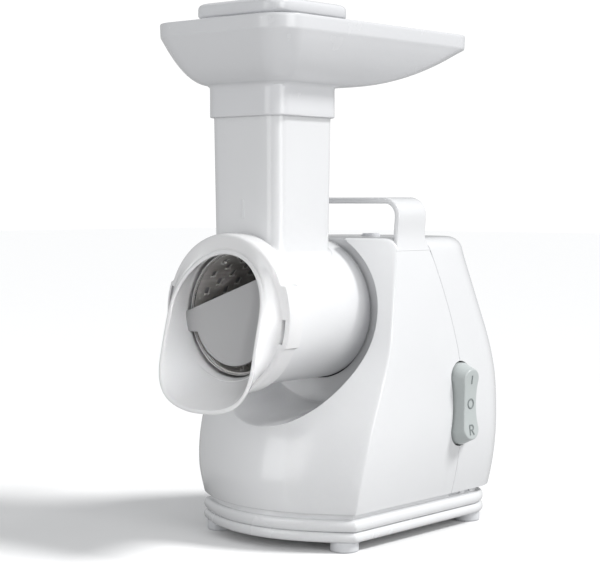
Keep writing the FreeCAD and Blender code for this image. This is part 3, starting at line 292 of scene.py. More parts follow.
def noise(nodes, links, coords, scale, detail=2.0, stretch=None):
    texture = nodes.new("ShaderNodeTexNoise")
    texture.inputs["Scale"].default_value = scale
    texture.inputs["Detail"].default_value = detail
    source = coords.outputs["Object"]
    if stretch:
        mapping = nodes.new("ShaderNodeMapping")
        mapping.inputs["Scale"].default_value = stretch
        links.new(source, mapping.inputs["Vector"])
        source = mapping.outputs["Vector"]
    links.new(source, texture.inputs["Vector"])
    return texture


def tone(nodes, links, texture, low, high):
    ramp = nodes.new("ShaderNodeValToRGB")
    ramp.color_ramp.elements[0].position = 0.3
    ramp.color_ramp.elements[0].color = (*low, 1)
    ramp.color_ramp.elements[1].position = 0.7
    ramp.color_ramp.elements[1].color = (*high, 1)
    links.new(texture.outputs["Fac"], ramp.inputs["Fac"])
    return ramp.outputs["Color"]


def spread_value(nodes, links, texture, low, high):
    span = nodes.new("ShaderNodeMapRange")
    span.inputs["To Min"].default_value = low
    span.inputs["To Max"].default_value = high
    links.new(texture.outputs["Fac"], span.inputs["Value"])
    return span.outputs["Result"]


def relief(nodes, links, texture, bsdf, strength, distance):
    bump = nodes.new("ShaderNodeBump")
    bump.inputs["Strength"].default_value = strength
    bump.inputs["Distance"].default_value = distance
    links.new(texture.outputs["Fac"], bump.inputs["Height"])
    links.new(bump.outputs["Normal"], bsdf.inputs["Normal"])


def plastic(name, colour, roughness=0.22, grain=0.25, coat=0.25, shift=0.025, sheen_scale=900):
    """Moulded plastic: a faint flow of tone, a fine skin texture and a clear gloss."""
    material, nodes, links, bsdf = new_material(name)
    coords = nodes.new("ShaderNodeTexCoord")
    low = tuple(max(0.0, c * (1 - shift)) for c in colour)
    flow = noise(nodes, links, coords, 14.0, 3.0)
    links.new(tone(nodes, links, flow, low, colour), bsdf.inputs["Base Color"])
    fine = noise(nodes, links, coords, sheen_scale, 2.0)
    handled = noise(nodes, links, coords, 45.0, 4.0)
    links.new(spread_value(nodes, links, handled, roughness * 0.88, roughness * 1.15),
              bsdf.inputs["Roughness"])
    relief(nodes, links, fine, bsdf, grain, 0.00003)
    bsdf.inputs["Coat Weight"].default_value = coat
    bsdf.inputs["Coat Roughness"].default_value = 0.08
    bsdf.inputs["IOR"].default_value = 1.5
    return material


def metal(name, colour, roughness, stretch=(1, 1, 1), scale=300.0, strength=0.3,
          metallic=1.0):
    """Drawn or turned metal: streaks along the way it was worked."""
    material, nodes, links, bsdf = new_material(name)
    coords = nodes.new("ShaderNodeTexCoord")
    streaks = noise(nodes, links, coords, scale, 4.0, stretch)
    low = tuple(c * 0.86 for c in colour)
    links.new(tone(nodes, links, streaks, low, colour), bsdf.inputs["Base Color"])
    links.new(spread_value(nodes, links, streaks, roughness * 0.8, roughness * 1.25),
              bsdf.inputs["Roughness"])
    relief(nodes, links, streaks, bsdf, strength, 0.00004)
    bsdf.inputs["Metallic"].default_value = metallic
    return material


WHITE = (0.77, 0.775, 0.785)
MATERIALS = {
    "shell_white": plastic("shell_white", WHITE, 0.17, 0.12, 0.5),
    "head_white": plastic("head_white", (0.77, 0.775, 0.785), 0.24, 0.2, 0.25),
    "cap_white": plastic("cap_white", (0.77, 0.77, 0.775), 0.22, 0.2, 0.3),
    "tray_white": plastic("tray_white", (0.73, 0.735, 0.75), 0.26, 0.2, 0.2),
    "base_white": plastic("base_white", (0.77, 0.775, 0.785), 0.26, 0.2, 0.25),
    "foot_rubber": plastic("foot_rubber", (0.70, 0.71, 0.73), 0.55, 0.6, 0.0, sheen_scale=600),
    "switch_grey": plastic("switch_grey", (0.50, 0.535, 0.53), 0.36, 0.5, 0.1, sheen_scale=700),
    "button_white": plastic("button_white", (0.74, 0.75, 0.77), 0.3, 0.3, 0.1),
    "switch_case": plastic("switch_case", (0.02, 0.02, 0.022), 0.5, 0.5, 0.0),
    "hub_plastic": plastic("hub_plastic", (0.10, 0.10, 0.105), 0.45, 0.5, 0.0),
    "gear_nylon": plastic("gear_nylon", (0.68, 0.65, 0.56), 0.4, 0.4, 0.0),
    "gearbox_plastic": plastic("gearbox_plastic", (0.03, 0.032, 0.036), 0.5, 0.6, 0.0),
    "fan_plastic": plastic("fan_plastic", (0.02, 0.07, 0.22), 0.45, 0.4, 0.0),
    "brush_black": plastic("brush_black", (0.015, 0.015, 0.016), 0.5, 0.5, 0.0),
    "board_green": plastic("board_green", (0.02, 0.12, 0.05), 0.4, 0.4, 0.1),
    "gland_black": plastic("gland_black", (0.02, 0.02, 0.022), 0.6, 0.7, 0.0),
    "drum_steel": metal("drum_steel", (0.82, 0.80, 0.775), 0.42, (1, 0.06, 1), 420.0, 0.3, 0.35),
    "shaft_steel": metal("shaft_steel", (0.62, 0.63, 0.65), 0.25, (1, 0.1, 1), 500.0),
    "bronze": metal("bronze", (0.55, 0.36, 0.16), 0.35),
    "motor_iron": metal("motor_iron", (0.20, 0.205, 0.22), 0.5, (0.1, 4.0, 0.1), 500.0),
    "copper": metal("copper", (0.66, 0.27, 0.12), 0.35, (1, 0.1, 1), 600.0),
    "bracket_alloy": metal("bracket_alloy", (0.66, 0.67, 0.68), 0.4),
}
# Painted shade: the baffle is the cap's white plastic; this grey colour paints the shade it sits in
# down the mouth.
baffle_painted_shade = plastic("baffle_painted_shade", (0.40, 0.40, 0.405), 0.32, 0.3, 0.1)
# Painted highlight: the teeth are the drum's own steel; this lighter copy paints bright glints on
# their tips.
tooth_steel_painted_glint = metal("tooth_steel_painted_glint", (0.92, 0.91, 0.89), 0.3, metallic=0.35)
# Painted shade: the rocker's marks are raised in the rocker's own grey plastic; this darker grey
# paints the shade round them.
marks_painted_shade = plastic("marks_painted_shade", (0.24, 0.265, 0.265), 0.4, 0.4, 0.0)
rim_steel = metal("rim_steel", (0.72, 0.71, 0.70), 0.16, (1, 0.05, 1), 300.0, 0.1)

for sub in frame["record"]["subparts"]:
    cad_piece = frame["nodes"][sub["node"]]
    cad_piece.data.materials.clear()
    cad_piece.data.materials.append(MATERIALS[sub["material_slot"]])
    for face in cad_piece.data.polygons:
        face.material_index = 0

# ------------------------------------------------------------ front cover


def front_bound(z):
    return half_width(z) - top_drop(z)


def front_face(x, z):
    return front_line(z) - FRONT_BOW * (1 - (x / half_width(z)) ** 2)


def smooth_max(a, b, k):
    blend = max(0.0, min(1.0, 0.5 + 0.5 * (a - b) / k))
    return b + (a - b) * blend + k * blend * (1 - blend)


def cover_depth(x, z):
    """The front face with the flared dish round the head sunk into it."""
    r = math.hypot(x, z - DISH_Z)
    flare = DISH_FLOOR - DISH_SLOPE * (r - DISH_R)
    dish = -smooth_max(-DISH_FLOOR, -flare, 3.0)
    return smooth_max(front_face(x, z), dish, 1.6)


def cover_reach(angle):
    """How far the cover's outline lies from the dish's middle in a direction."""
    near, far = 10.0, 220.0
    c, s = math.cos(angle), math.sin(angle)
    for _ in range(40):
        mid = (near + far) / 2
        x, z = mid * c, DISH_Z + mid * s
        inside = BODY_BOTTOM <= z <= BODY_TOP and abs(x) <= front_bound(z)
        near, far = (mid, far) if inside else (near, mid)
    return near


def crease_reach(angle, limit):
    """Where the dish's flare meets the front face."""
    near, far = DISH_R - 1, limit
    c, s = math.cos(angle), math.sin(angle)
    for _ in range(30):
        mid = (near + far) / 2
        x, z = mid * c, DISH_Z + mid * s
        below = DISH_FLOOR - DISH_SLOPE * (mid - DISH_R) > front_face(x, z)
        near, far = (mid, far) if below else (near, mid)
    return near


def front_cover():
    hole = 40.8
    corners = []
    for z in (BODY_BOTTOM, BODY_TOP):
        for side in (-1, 1):
            corners.append(math.atan2(z - DISH_Z, side * front_bound(z)) % (2 * math.pi))
    angles = sorted([2 * math.pi * k / 220 for k in range(220)] + corners)
    columns = []
    for angle in angles:
        edge = cover_reach(angle)
        c, s = math.cos(angle), math.sin(angle)
        crease = min(crease_reach(angle, 120.0), edge - 1.0)
        floor_end = min(DISH_R, edge - 1.5)
        crease = max(crease, floor_end + 0.4)
        radii = spread(hole, floor_end - 1.6, 4) + spread(floor_end - 1.2, floor_end + 0.3, 4)
        last_bend = max(floor_end + 0.35, crease - 1.0)
        radii += spread(floor_end + 0.32, last_bend, 5)[1:]
        radii += spread(last_bend, min(crease + 1.0, edge - 0.9), 6)[1:]
        radii += spread(min(crease + 1.0, edge - 0.9), edge - 0.8, 9)[1:]
        column = [(r * c, cover_depth(r * c, DISH_Z + r * s), DISH_Z + r * s) for r in radii]
        x, z = edge * c, DISH_Z + edge * s
        y = cover_depth(x, z)
        column.append(((edge - 0.25) * c, y + 0.2, DISH_Z + (edge - 0.25) * s))
        column.append((x, y + 0.8, z))
        back = max(y + 1.0, front_line(min(z, BODY_TOP)))
        column.append((x, back, z))
        column.append(((edge - 2.5) * c, back, DISH_Z + (edge - 2.5) * s))
        columns.append(column)
    rows = [[column[k] for column in columns] for k in range(len(columns[0]))]
    hole_rows = [ring_at_dish(hole, DISH_FLOOR + 3, angles), rows[0]]
    return joined(skin(rows), skin(hole_rows))


def ring_at_dish(radius, y, angles):
    return [(radius * math.cos(a), y, DISH_Z + radius * math.sin(a)) for a in angles]


build("front_cover_skin", front_cover(), MATERIALS["shell_white"], "machine",
      ["front_cover"], sharp=50)

# ------------------------------------------------------------ middle shell and handle

HANDLE_TOP = 220.0
HANDLE_CORNER = 12.0
HANDLE_SPREAD = 1.0
STRAP = 4.0


def arch_path():
    """The middle shell's outer line from the right foot over the handle, as (x, z)."""
    head_x = half_width(BODY_TOP) + HANDLE_SPREAD
    blend_low = BODY_TOP - 10
    side = [(half_width(z), z) for z in spread(BODY_BOTTOM, blend_low, 34)]
    leg_top = HANDLE_TOP - HANDLE_CORNER
    for k in range(1, 8):
        t = k / 7.0
        z = blend_low + (leg_top - blend_low) * t
        ease = t * t * (3 - 2 * t)
        slope_x = half_width(blend_low) - 0.235 * (z - blend_low)
        side.append((slope_x + (head_x - slope_x) * ease, z))
    for k in range(1, 15):
        a = math.pi / 2 * k / 14
        side.append((head_x - HANDLE_CORNER + HANDLE_CORNER * math.cos(a),
                     leg_top + HANDLE_CORNER * math.sin(a)))
    span = side[-1][0]
    top = [(x, HANDLE_TOP) for x in spread(span, 0, 8)[1:]]
    half = side + top
    return half + [(-x, z) for x, z in reversed(half[:-1])]


def strap_section(point, normal, z):
    """One closed section of the band: rounded long edges, outer and inner face."""
    x0, z0 = point
    front = (front_line(z) if z < BODY_TOP else front_line(BODY_TOP)) + PANEL_GAP
    rear = seam_line(z) if z < BODY_TOP else SEAM_HIGH
    share = min(1.0, max(0.0, (z - (BODY_TOP - 14)) / 14.0))
    thick = 2.8 + (STRAP - 2.8) * share
    bevel = 0.35 + 1.25 * share
    loop = []
    for centre_y, start in ((front + bevel, math.pi), (rear - bevel, math.pi / 2)):
        for k in range(5):
            a = start - math.pi / 2 * k / 4
            loop.append((centre_y + bevel * math.cos(a), bevel * (math.sin(a) - 1)))
        if centre_y < rear - bevel - 0.1:
            loop += [(y, 0.0) for y in spread(front + bevel, rear - bevel, 9)[1:-1]]
    for centre_y, start in ((rear - bevel, 0.0), (front + bevel, -math.pi / 2)):
        for k in range(5):
            a = start - math.pi / 2 * k / 4
            loop.append((centre_y + bevel * math.cos(a), bevel * (math.sin(a) + 1) - thick))
        if start == 0.0:
            loop += [(y, -thick) for y in spread(rear - bevel, front + bevel, 9)[1:-1]]
    return [(x0 + normal[0] * depth, y, z0 + normal[1] * depth) for y, depth in loop]


def middle_band():
    path = arch_path()
    rows = []
    for k, point in enumerate(path):
        before = path[max(k - 1, 0)]
        after = path[min(k + 1, len(path) - 1)]
        dx, dz = after[0] - before[0], after[1] - before[1]
        length = math.hypot(dx, dz)
        rows.append(strap_section(point, (dz / length, -dx / length), point[1]))
    return prism(rows)


def top_section(z):
    """Half the body's width at a height, drawn in by the rounded top edge."""
    return half_width(z) - top_drop(z)


def shoulder_heights():
    return [BODY_TOP - TOP_EDGE + TOP_EDGE * math.sin(math.radians(a)) for a in spread(0, 90, 9)]


TOP_WALL = 2.6


def deck():
    """The body's top behind the front cover, rounded down at both sides."""
    shoulder = [(top_section(z), z) for z in shoulder_heights()]
    flat = [(x, BODY_TOP) for x in spread(shoulder[-1][0], -shoulder[-1][0], 26)[1:-1]]
    rows = []
    for x, z in shoulder + flat + [(-x, z) for x, z in reversed(shoulder)]:
        front, rear = front_line(z) + 0.05, seam_line(z)
        across = [front, front + 0.5] + spread(front, rear, 7)[1:-1] + [rear - 0.5, rear]
        top = [(x, y, z - (0.35 if y in (front, rear) else 0.0)) for y in across]
        under = [(x * (1 - TOP_WALL / 80.0), y, z - TOP_WALL) for y in reversed(across)]
        rows.append(top + under)
    return prism(rows)


build("middle_shell_skin", middle_band(), MATERIALS["shell_white"], "machine",
      ["middle_shell"], sharp=45)
build("middle_shell_top", deck(), MATERIALS["shell_white"], "machine", sharp=45)

# ------------------------------------------------------------ rear shell


def rear_row(z, drop):
    half = half_width(z) - drop
    rear = rear_line(z) - drop
    square = rear - REAR_BOW
    radius = REAR_CORNER - drop
    seam = seam_line(z) + PANEL_GAP
    row = [(half - 0.3, seam, z), (half - 0.08, seam + 0.1, z)]
    row += [(half, y, z) for y in spread(seam + 0.5, square - radius, 12)]
    hub_x, hub_y = half - radius, square - radius
    bend = [(hub_x + radius * math.cos(a), hub_y + radius * math.sin(a), z)
            for a in spread(0, math.pi / 2, 15)[1:]]
    row += bend
    # the rear wall bows out a little and stays tangent to the corners
    for x in spread(hub_x, 0, 9)[1:]:
        row.append((x, square + REAR_BOW * (1 - (x / hub_x) ** 2) ** 2, z))
    return row + [(-x, y, zz) for x, y, zz in reversed(row[:-1])]


def rear_shell():
    rows = []
    for z in spread(BODY_BOTTOM, BODY_TOP - TOP_EDGE, 44):
        rows.append(rear_row(z, 0.0))
    for z in shoulder_heights()[1:]:
        rows.append(rear_row(z, top_drop(z)))
    last = rows[-1]
    pivot_y = seam_line(BODY_TOP) + PANEL_GAP
    for s in (0.96, 0.85, 0.7, 0.5, 0.3, 0.12, 0.0):
        rows.append([(x * s, pivot_y + (y - pivot_y) * s, z) for x, y, z in last])
    return skin(rows, loop=False)


rear = build("rear_shell_skin", rear_shell(), MATERIALS["shell_white"], "machine",
             ["rear_shell"], sharp=45)
solidify(rear, 2.6)


def lozenge(length, width, waist, grow, per_end=20, per_side=12):
    """The rocker's outline: round ends joined by drawn-in sides, as (y, z)."""
    r = width / 2 + grow
    top = length / 2 + grow - r
    points = [(r * math.cos(a), top + r * math.sin(a)) for a in spread(0, math.pi, per_end)]
    points += [(-r + waist * (1 - (z / top) ** 2), z) for z in spread(top, -top, per_side)[1:-1]]
    points += [(r * math.cos(a), -top + r * math.sin(a))
               for a in spread(math.pi, 2 * math.pi, per_end)]
    points += [(r - waist * (1 - (z / top) ** 2), z) for z in spread(-top, top, per_side)[1:-1]]
    return points


SWITCH_Y = 50.0
SWITCH_Z = 84.5
SWITCH_X = half_width(SWITCH_Z)


ROCKER_LENGTH = 54.0
ROCKER_WIDTH = 20.0
ROCKER_WAIST = 1.6
ROCKER_GAP = 1.2

window = prism([[(x, SWITCH_Y + y, SWITCH_Z + z)
                 for y, z in lozenge(ROCKER_LENGTH, ROCKER_WIDTH, ROCKER_WAIST, ROCKER_GAP)]
                for x in (SWITCH_X - 14, SWITCH_X + 12)])
carve(rear, window)
carve(bpy.data.objects["middle_shell_skin"], window)
BUTTON_HOLE, BUTTON_Y = 6.9, 45.0
VENT_COUNT, VENT_PITCH, VENT_HALF = 7, 6.0, 1.2
VENT_LOW, VENT_HIGH = 56.0, 78.0
GLAND_HOLE, GLAND_Z = 5.2, 42.0
REAR_CUT = (100.0, 130.0)

carve(rear, prism([[(x, BUTTON_Y + y, z) for x, y in circle(BUTTON_HOLE, 48)]
                   for z in (180, 200)]))
for k in range(VENT_COUNT):
    x = VENT_PITCH * (k - (VENT_COUNT - 1) / 2)
    corners = ((-VENT_HALF, VENT_LOW), (VENT_HALF, VENT_LOW),
               (VENT_HALF, VENT_HIGH), (-VENT_HALF, VENT_HIGH))
    carve(rear, prism([[(x + dx, y, z) for dx, z in corners] for y in REAR_CUT]))
carve(rear, prism([[(x, y, GLAND_Z + z) for x, z in circle(GLAND_HOLE, 32)] for y in REAR_CUT]))

# ------------------------------------------------------------ rocker switch


ROCKER_PROUD = 9.4
ROCKER_FLANGE = 0.8
ROCKER_DRAFT = 1.5
ROCKER_END_DRAFT = 3.5
ROCKER_SCOOP = 2.2


def rocker_face(z):
    half = ROCKER_LENGTH / 2 - ROCKER_END_DRAFT
    return SWITCH_X + ROCKER_PROUD - ROCKER_SCOOP * (1 - min(1.0, (z / half) ** 2))


def rocker_outline(share, extra=0.0):
    """The rocker's outline at a share of its drafted height."""
    half = ROCKER_LENGTH / 2
    width = ROCKER_WIDTH - 2 * ROCKER_DRAFT * share - 2 * extra
    return [(y, z * (half - ROCKER_END_DRAFT * share - extra) / half)
            for y, z in lozenge(ROCKER_LENGTH, width, ROCKER_WAIST, 0.0)]


def rocker():
    soft = 1.3
    flange = SWITCH_X + ROCKER_FLANGE
    rows = [[(SWITCH_X - 8, y, z) for y, z in rocker_outline(0.0)],
            [(flange, y, z) for y, z in rocker_outline(0.0)]]
    for share in (0.25, 0.5, 0.75):
        row = []
        for y, z in rocker_outline(share):
            top = rocker_face(z) - soft
            row.append((flange + (top - flange) * share, y, z))
        rows.append(row)
    for turn in spread(0, 90, 6):
        a = math.radians(turn)
        inset = rocker_outline(1.0, soft * (1 - math.cos(a)))
        rows.append([(rocker_face(z) - soft * (1 - math.sin(a)), y, z) for y, z in inset])
    for s in (0.85, 0.6, 0.3, 0.0):
        rows.append([(rocker_face(z * (0.3 + 0.7 * s)), y * s, z * (0.3 + 0.7 * s))
                     for y, z in inset])
    points, faces = skin(rows, cap_start=True)
    return [(x, SWITCH_Y + y, SWITCH_Z + z) for x, y, z in points], faces


build("rocker_paddle", rocker(), MATERIALS["switch_grey"], "rocker",
      ["rocker_switch"], sharp=55)


STROKE_WIDTH = 1.0
STROKE_HEIGHT = 0.45


def stroke(route):
    """A raised stroke on the rocker's face along points (y, z), as small linked bars."""
    rows = []
    for k, (y, z) in enumerate(route):
        ahead = route[min(k + 1, len(route) - 1)]
        behind = route[max(k - 1, 0)]
        dy, dz = ahead[0] - behind[0], ahead[1] - behind[1]
        n = math.hypot(dy, dz) or 1.0
        ny, nz = -dz / n * STROKE_WIDTH / 2, dy / n * STROKE_WIDTH / 2
        base = rocker_face(z) - 0.5
        tip = rocker_face(z) + STROKE_HEIGHT
        rows.append([(base, y - ny, z - nz), (tip - 0.15, y - ny, z - nz),
                     (tip, y - ny * 0.6, z - nz * 0.6), (tip, y + ny * 0.6, z + nz * 0.6),
                     (tip - 0.15, y + ny, z + nz), (base, y + ny, z + nz)])
    points, faces = prism(rows)
    return [(x, SWITCH_Y + y, SWITCH_Z + z) for x, y, z in points], faces


def circle_route(y, z, radius, start=0, end=360, count=25):
    return [(y + radius * math.cos(math.radians(a)), z + radius * math.sin(math.radians(a)))
            for a in spread(start, end, count)]


marks = joined(
    stroke([(0, 13.5), (0, 16), (0, 19.0)]),
    stroke(circle_route(0, 0.5, 3.0)),
    stroke([(-2.2, -20), (-2.2, -17), (-2.2, -13.6)]),
    stroke([(-2.2, -13.6), (-0.6, -13.6)] + circle_route(0.2, -15.2, 1.6, 90, -90, 9)
           + [(-0.6, -16.8), (-2.2, -16.8)]),
    stroke([(-0.2, -16.8), (1.9, -20)]),
)
# The marks' darker grey is painted shade.
build("rocker_marks", marks, marks_painted_shade, "rocker", sharp=50)

# ------------------------------------------------------------ base

BASE_HALF = 65.5
BASE_REAR = 109.0
BASE_CORNER = 30.0
BASE_REAR_BOW = 3.0
PAN_LOW, PAN_HIGH = 6.5, 12.7
FRAME_LOW, FRAME_HIGH = 13.1, 20.5
NECK_TOP = 24.6
RING_INSIDE = 9.0


def base_loop(inset, z):
    """The base's outline at a height: bowed front, eased corners, rounded rear."""
    half = BASE_HALF - inset
    front = FRONT_EDGE + 0.6 * inset
    rear_y = BASE_REAR - inset
    radius = BASE_CORNER - inset
    square = rear_y - BASE_REAR_BOW
    arc = [(half * t, front - FRONT_BOW * (1 - t * t), z) for t in spread(-0.97, 0.97, 31)]
    ease = [(half * 0.988, front - FRONT_BOW * 0.016, z), (half * 0.997, front + 0.4, z),
            (half, front + 2.2, z)]
    side = [(half, y, z) for y in spread(front + 4, square - radius, 12)]
    corner = [(half - radius + radius * math.cos(a), square - radius + radius * math.sin(a), z)
              for a in spread(0, math.pi / 2, 13)[1:]]
    back = [(x, square + BASE_REAR_BOW * (1 - (x / (half - radius)) ** 2) ** 2, z)
            for x in spread(half - radius, 0, 8)[1:]]
    right = ease + side + corner + back
    left = [(-x, y, zz) for x, y, zz in reversed(right[:-1])]
    return arc + right + left


def bead(low, high, bulge):
    """Rows of a rounded bead between two heights, swelling outwards."""
    steep = 84
    half = (high - low) / 2 / math.sin(math.radians(steep))
    turns = [math.radians(a) for a in spread(-steep, steep, 15)]
    return [base_loop(bulge * (1 - math.cos(t)), (low + high) / 2 + half * math.sin(t))
            for t in turns]


def base_ring():
    rows = [base_loop(3.4, FRAME_LOW - 0.5)] + bead(FRAME_LOW, FRAME_HIGH, 2.6)
    rows += [base_loop(inset, z) for inset, z in ((4.0, FRAME_HIGH + 0.1), (4.5, FRAME_HIGH + 0.5),
                                                  (4.5, NECK_TOP))]
    inner = [base_loop(RING_INSIDE, NECK_TOP), base_loop(RING_INSIDE, FRAME_LOW - 0.5)]
    return skin(rows + inner, tube=True)


ring = build("base_ring", base_ring(), MATERIALS["base_white"], "machine",
             ["base_frame"], sharp=50)
build("base_pan", prism(bead(PAN_LOW, PAN_HIGH, 2.2)),
      MATERIALS["base_white"], "machine", ["base_plate"], sharp=50)


def neck_slot(start, width, low=21.4, high=23.2):
    """A shallow slot in the base's right neck."""
    return prism([[(x, start, low), (x, start + width, low), (x, start + width, high),
                   (x, start, high)] for x in (59.4, 64.6)])


for start, width in ((52, 13), (70, 6)):
    carve(ring, neck_slot(start, width))

FOOT_PROFILE = ((7.8, 0.0), (8.5, 0.15), (8.9, 0.7), (9.0, 1.5), (9.0, PAN_LOW))
for label in ("foot_front_left", "foot_front_right", "foot_rear_left", "foot_rear_right"):
    low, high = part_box(label)
    cx, cy = (low.x + high.x) / 2 / MM + CENTRE_SHIFT, (low.y + high.y) / 2 / MM
    rows = [[(cx + x, cy + y, z) for x, y in circle(r, 48)] for r, z in FOOT_PROFILE]
    build(label + "_pad", prism(rows), MATERIALS["foot_rubber"], "machine",
          [label], sharp=50)

# ------------------------------------------------------------ drum housing and feed tube


def tube_loop(z, inset, grow=0.0):
    share = (z - AXIS_Z) / (TUBE_TOP - AXIS_Z)
    taper = TUBE_TAPER * (share - 0.5)
    return rounded_loop(TUBE_HALF_X + taper - inset + grow, TUBE_HALF_Y + taper - inset + grow,
                        TUBE_Y, TUBE_CORNER - inset * 0.7 + grow, z)


def tube():
    """The feed tube; its foot flares in a small fillet onto the round housing."""
    rows = []
    for lift, grow in ((-1.0, 2.6), (0.02, 2.5), (0.35, 1.6), (1.0, 0.75), (2.0, 0.15), (3.0, 0.0)):
        loop = tube_loop(AXIS_Z + 45, 0.0, grow)
        rows.append([(x, y, AXIS_Z + math.sqrt(HEAD_R ** 2 - x * x) + lift) for x, y, _ in loop])
    rows += [tube_loop(z, 0.0) for z in spread(AXIS_Z + 51, TUBE_TOP - 1.0, 14)]
    rows += [tube_loop(TUBE_TOP - 0.3, 0.25), tube_loop(TUBE_TOP, 0.9), tube_loop(TUBE_TOP, 2.2),
             tube_loop(TUBE_TOP - 0.6, TUBE_WALL)]
    rows += [tube_loop(z, TUBE_WALL) for z in spread(TUBE_TOP - 2, AXIS_Z + 38, 6)]
    return skin(rows, tube=True)


housing_profile = [(SPIGOT_R, SPIGOT_END), (SPIGOT_R, HEAD_REAR), (44.3, HEAD_REAR),
                   (45.1, HEAD_REAR - 0.3), (HEAD_R, HEAD_REAR - 1.1)]
housing_profile += [(HEAD_R, y) for y in spread(HEAD_REAR - 6, HEAD_FRONT + 4, 12)]
housing_profile += [(HEAD_R, HEAD_FRONT + 0.8), (45.1, HEAD_FRONT + 0.2), (44.4, HEAD_FRONT),
                    (HEAD_BORE + 0.6, HEAD_FRONT), (HEAD_BORE, HEAD_FRONT + 0.6),
                    (HEAD_BORE, HEAD_FLOOR), (SPIGOT_BORE, HEAD_FLOOR),
                    (SPIGOT_BORE, SPIGOT_END)]
housing = build("drum_housing_barrel", lathe(housing_profile, 128), MATERIALS["head_white"],
                "head", ["drum_housing"], sharp=40)
carve(housing, prism([tube_loop(z, TUBE_WALL) for z in (AXIS_Z + 20, AXIS_Z + 60)]))
build("feed_tube", tube(), MATERIALS["head_white"], "head", sharp=50)
mark_front = TUBE_Y - TUBE_HALF_Y - 0.1
build("tube_mark", prism([[(x, mark_front + dy, z) for x, dy in
                           ((-0.45, 0.4), (-0.3, -0.35), (0.3, -0.35), (0.45, 0.4))]
                          for z in spread(MARK_LOW, MARK_HIGH, 4)]),
      MATERIALS["head_white"], "head", sharp=50)

# ------------------------------------------------------------ grater drum

drum_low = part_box("grater_drum")[0]
DRUM_R = 37.8
DRUM_FRONT = drum_low.y / MM
rim_rows = []
for centre_y, r_mid in ((DRUM_FRONT - 0.9, 38.3), (DRUM_FRONT + 1.7, 38.5)):
    rim_rows.append([(r_mid + 0.95 * math.cos(a) * 0.8, centre_y + 1.15 * math.sin(a))
                     for a in spread(0, 2 * math.pi, 13)[:-1]])
build("drum_rolled_rim", joined(*[lathe(profile, 128) for profile in rim_rows],
                                lathe([(37.0, DRUM_FRONT - 1.0), (37.75, DRUM_FRONT - 1.0),
                                       (37.75, DRUM_FRONT + 3.0), (37.0, DRUM_FRONT + 3.0)], 128)),
      rim_steel, "drum", ["drum_rim"], sharp=50)


HOLE_PITCH = 8.6
HOLES_AROUND = 18
FIRST_ROW = 9.1
ROW_COUNT = 6


def tooth(row_y, angle, side):
    """One punched tooth: a small upturned point beside a hole, inside the drum's wall."""
    r0 = DRUM_R - 0.85
    y = row_y + side * 1.25
    wide = 0.85
    def at(radius, dy, turn):
        a = angle + turn / DRUM_R
        return (radius * math.cos(a), y + dy, AXIS_Z + radius * math.sin(a))
    base = [at(r0, -wide, 2.0), at(r0, wide, 2.0), at(r0, wide * 0.7, 3.6), at(r0, -wide * 0.7, 3.6)]
    tip = [at(r0 - 1.7, -wide * 0.25, 1.3), at(r0 - 1.7, wide * 0.25, 1.3),
           at(r0 - 1.3, wide * 0.2, 1.9), at(r0 - 1.3, -wide * 0.2, 1.9)]
    return prism([base, tip])


teeth = []
for row in range(ROW_COUNT):
    row_y = DRUM_FRONT + FIRST_ROW + HOLE_PITCH * row
    for k in range(HOLES_AROUND):
        angle = 2 * math.pi * k / HOLES_AROUND + (math.pi / HOLES_AROUND if row % 2 else 0.0)
        teeth += [tooth(row_y, -angle, -1), tooth(row_y, -angle, 1)]
# The teeth's lighter steel is a painted highlight on their tips.
build("drum_teeth", joined(*teeth), tooth_steel_painted_glint, "drum", sharp=30)

# ------------------------------------------------------------ outlet cap

CAP_R = 49.8
CAP_FACE = -100.0
CAP_REAR = -86.0
MOUTH_R = 36.8
MOUTH_DROP = 56.5
LIP_Y = -121.5
SLEEVE_R = 41.6
SLEEVE_BORE = 39.8
SLEEVE_END = -91.5
CAP_COUNT = 240
EAR_REACH = 2.4
EAR_HALF = 19.0
SLOT_OUTER = 49.2
SLOT_INNER = 46.8
SLOT_DEPTH = 4.5
SLOT_SWEEP = 18.0
RIM_SEAT_R = 46.3
SPOUT_CORNER = 19.0
SPOUT_WALL = 3.0


def u_reach(angle, half, drop, corner):
    """Distance from the axis to the mouth's outline: an arch over a rounded trough."""
    s, c = math.sin(angle), math.cos(angle)
    if s >= 0:
        return half
    def inside(r):
        x, z = abs(r * c), -r * s
        if x > half or z > drop:
            return False
        sag = 5.0 * (x / half) ** 2
        if z > drop - sag:
            return False
        cx, cz = half - corner, drop - corner - 2.6
        return not (x > cx and z > cz and math.hypot(x - cx, z - cz) > corner)
    near, far = 10.0, 90.0
    for _ in range(34):
        mid = (near + far) / 2
        near, far = (mid, far) if inside(mid) else (near, mid)
    return near


def mouth_outline(half, drop, corner):
    """The mouth's outline as a reach for each direction, eased where its arcs meet."""
    reach = [u_reach(2 * math.pi * k / CAP_COUNT, half, drop, corner) for k in range(CAP_COUNT)]
    for _ in range(30):
        reach = [(reach[k - 1] + 2 * reach[k] + reach[(k + 1) % CAP_COUNT]) / 4
                 for k in range(CAP_COUNT)]
    return reach


def rim_lean(z):
    """How far forward the mouth's rim stands at a height; it leans out towards the lip."""
    t = min(1.0, max(0.0, (AXIS_Z + MOUTH_R - z) / (MOUTH_R + MOUTH_DROP)))
    return CAP_FACE + 0.4 + (LIP_Y - CAP_FACE - 0.4) * (1 - (1 - t) ** 1.35)


def cap_ear(angle):
    """The ears swell out of the ring at both sides."""
    z = abs(math.sin(angle)) * CAP_R
    edge = min(1.0, max(0.0, (EAR_HALF + 0.8 - z) / 2.0))
    return EAR_REACH * edge * edge * (3 - 2 * edge)


def cap_row(radius_of, y_of):
    row = []
    for k in range(CAP_COUNT):
        a = 2 * math.pi * k / CAP_COUNT
        r = radius_of(a)
        row.append((r * math.cos(a), y_of(a, r), AXIS_Z + r * math.sin(a)))
    return row


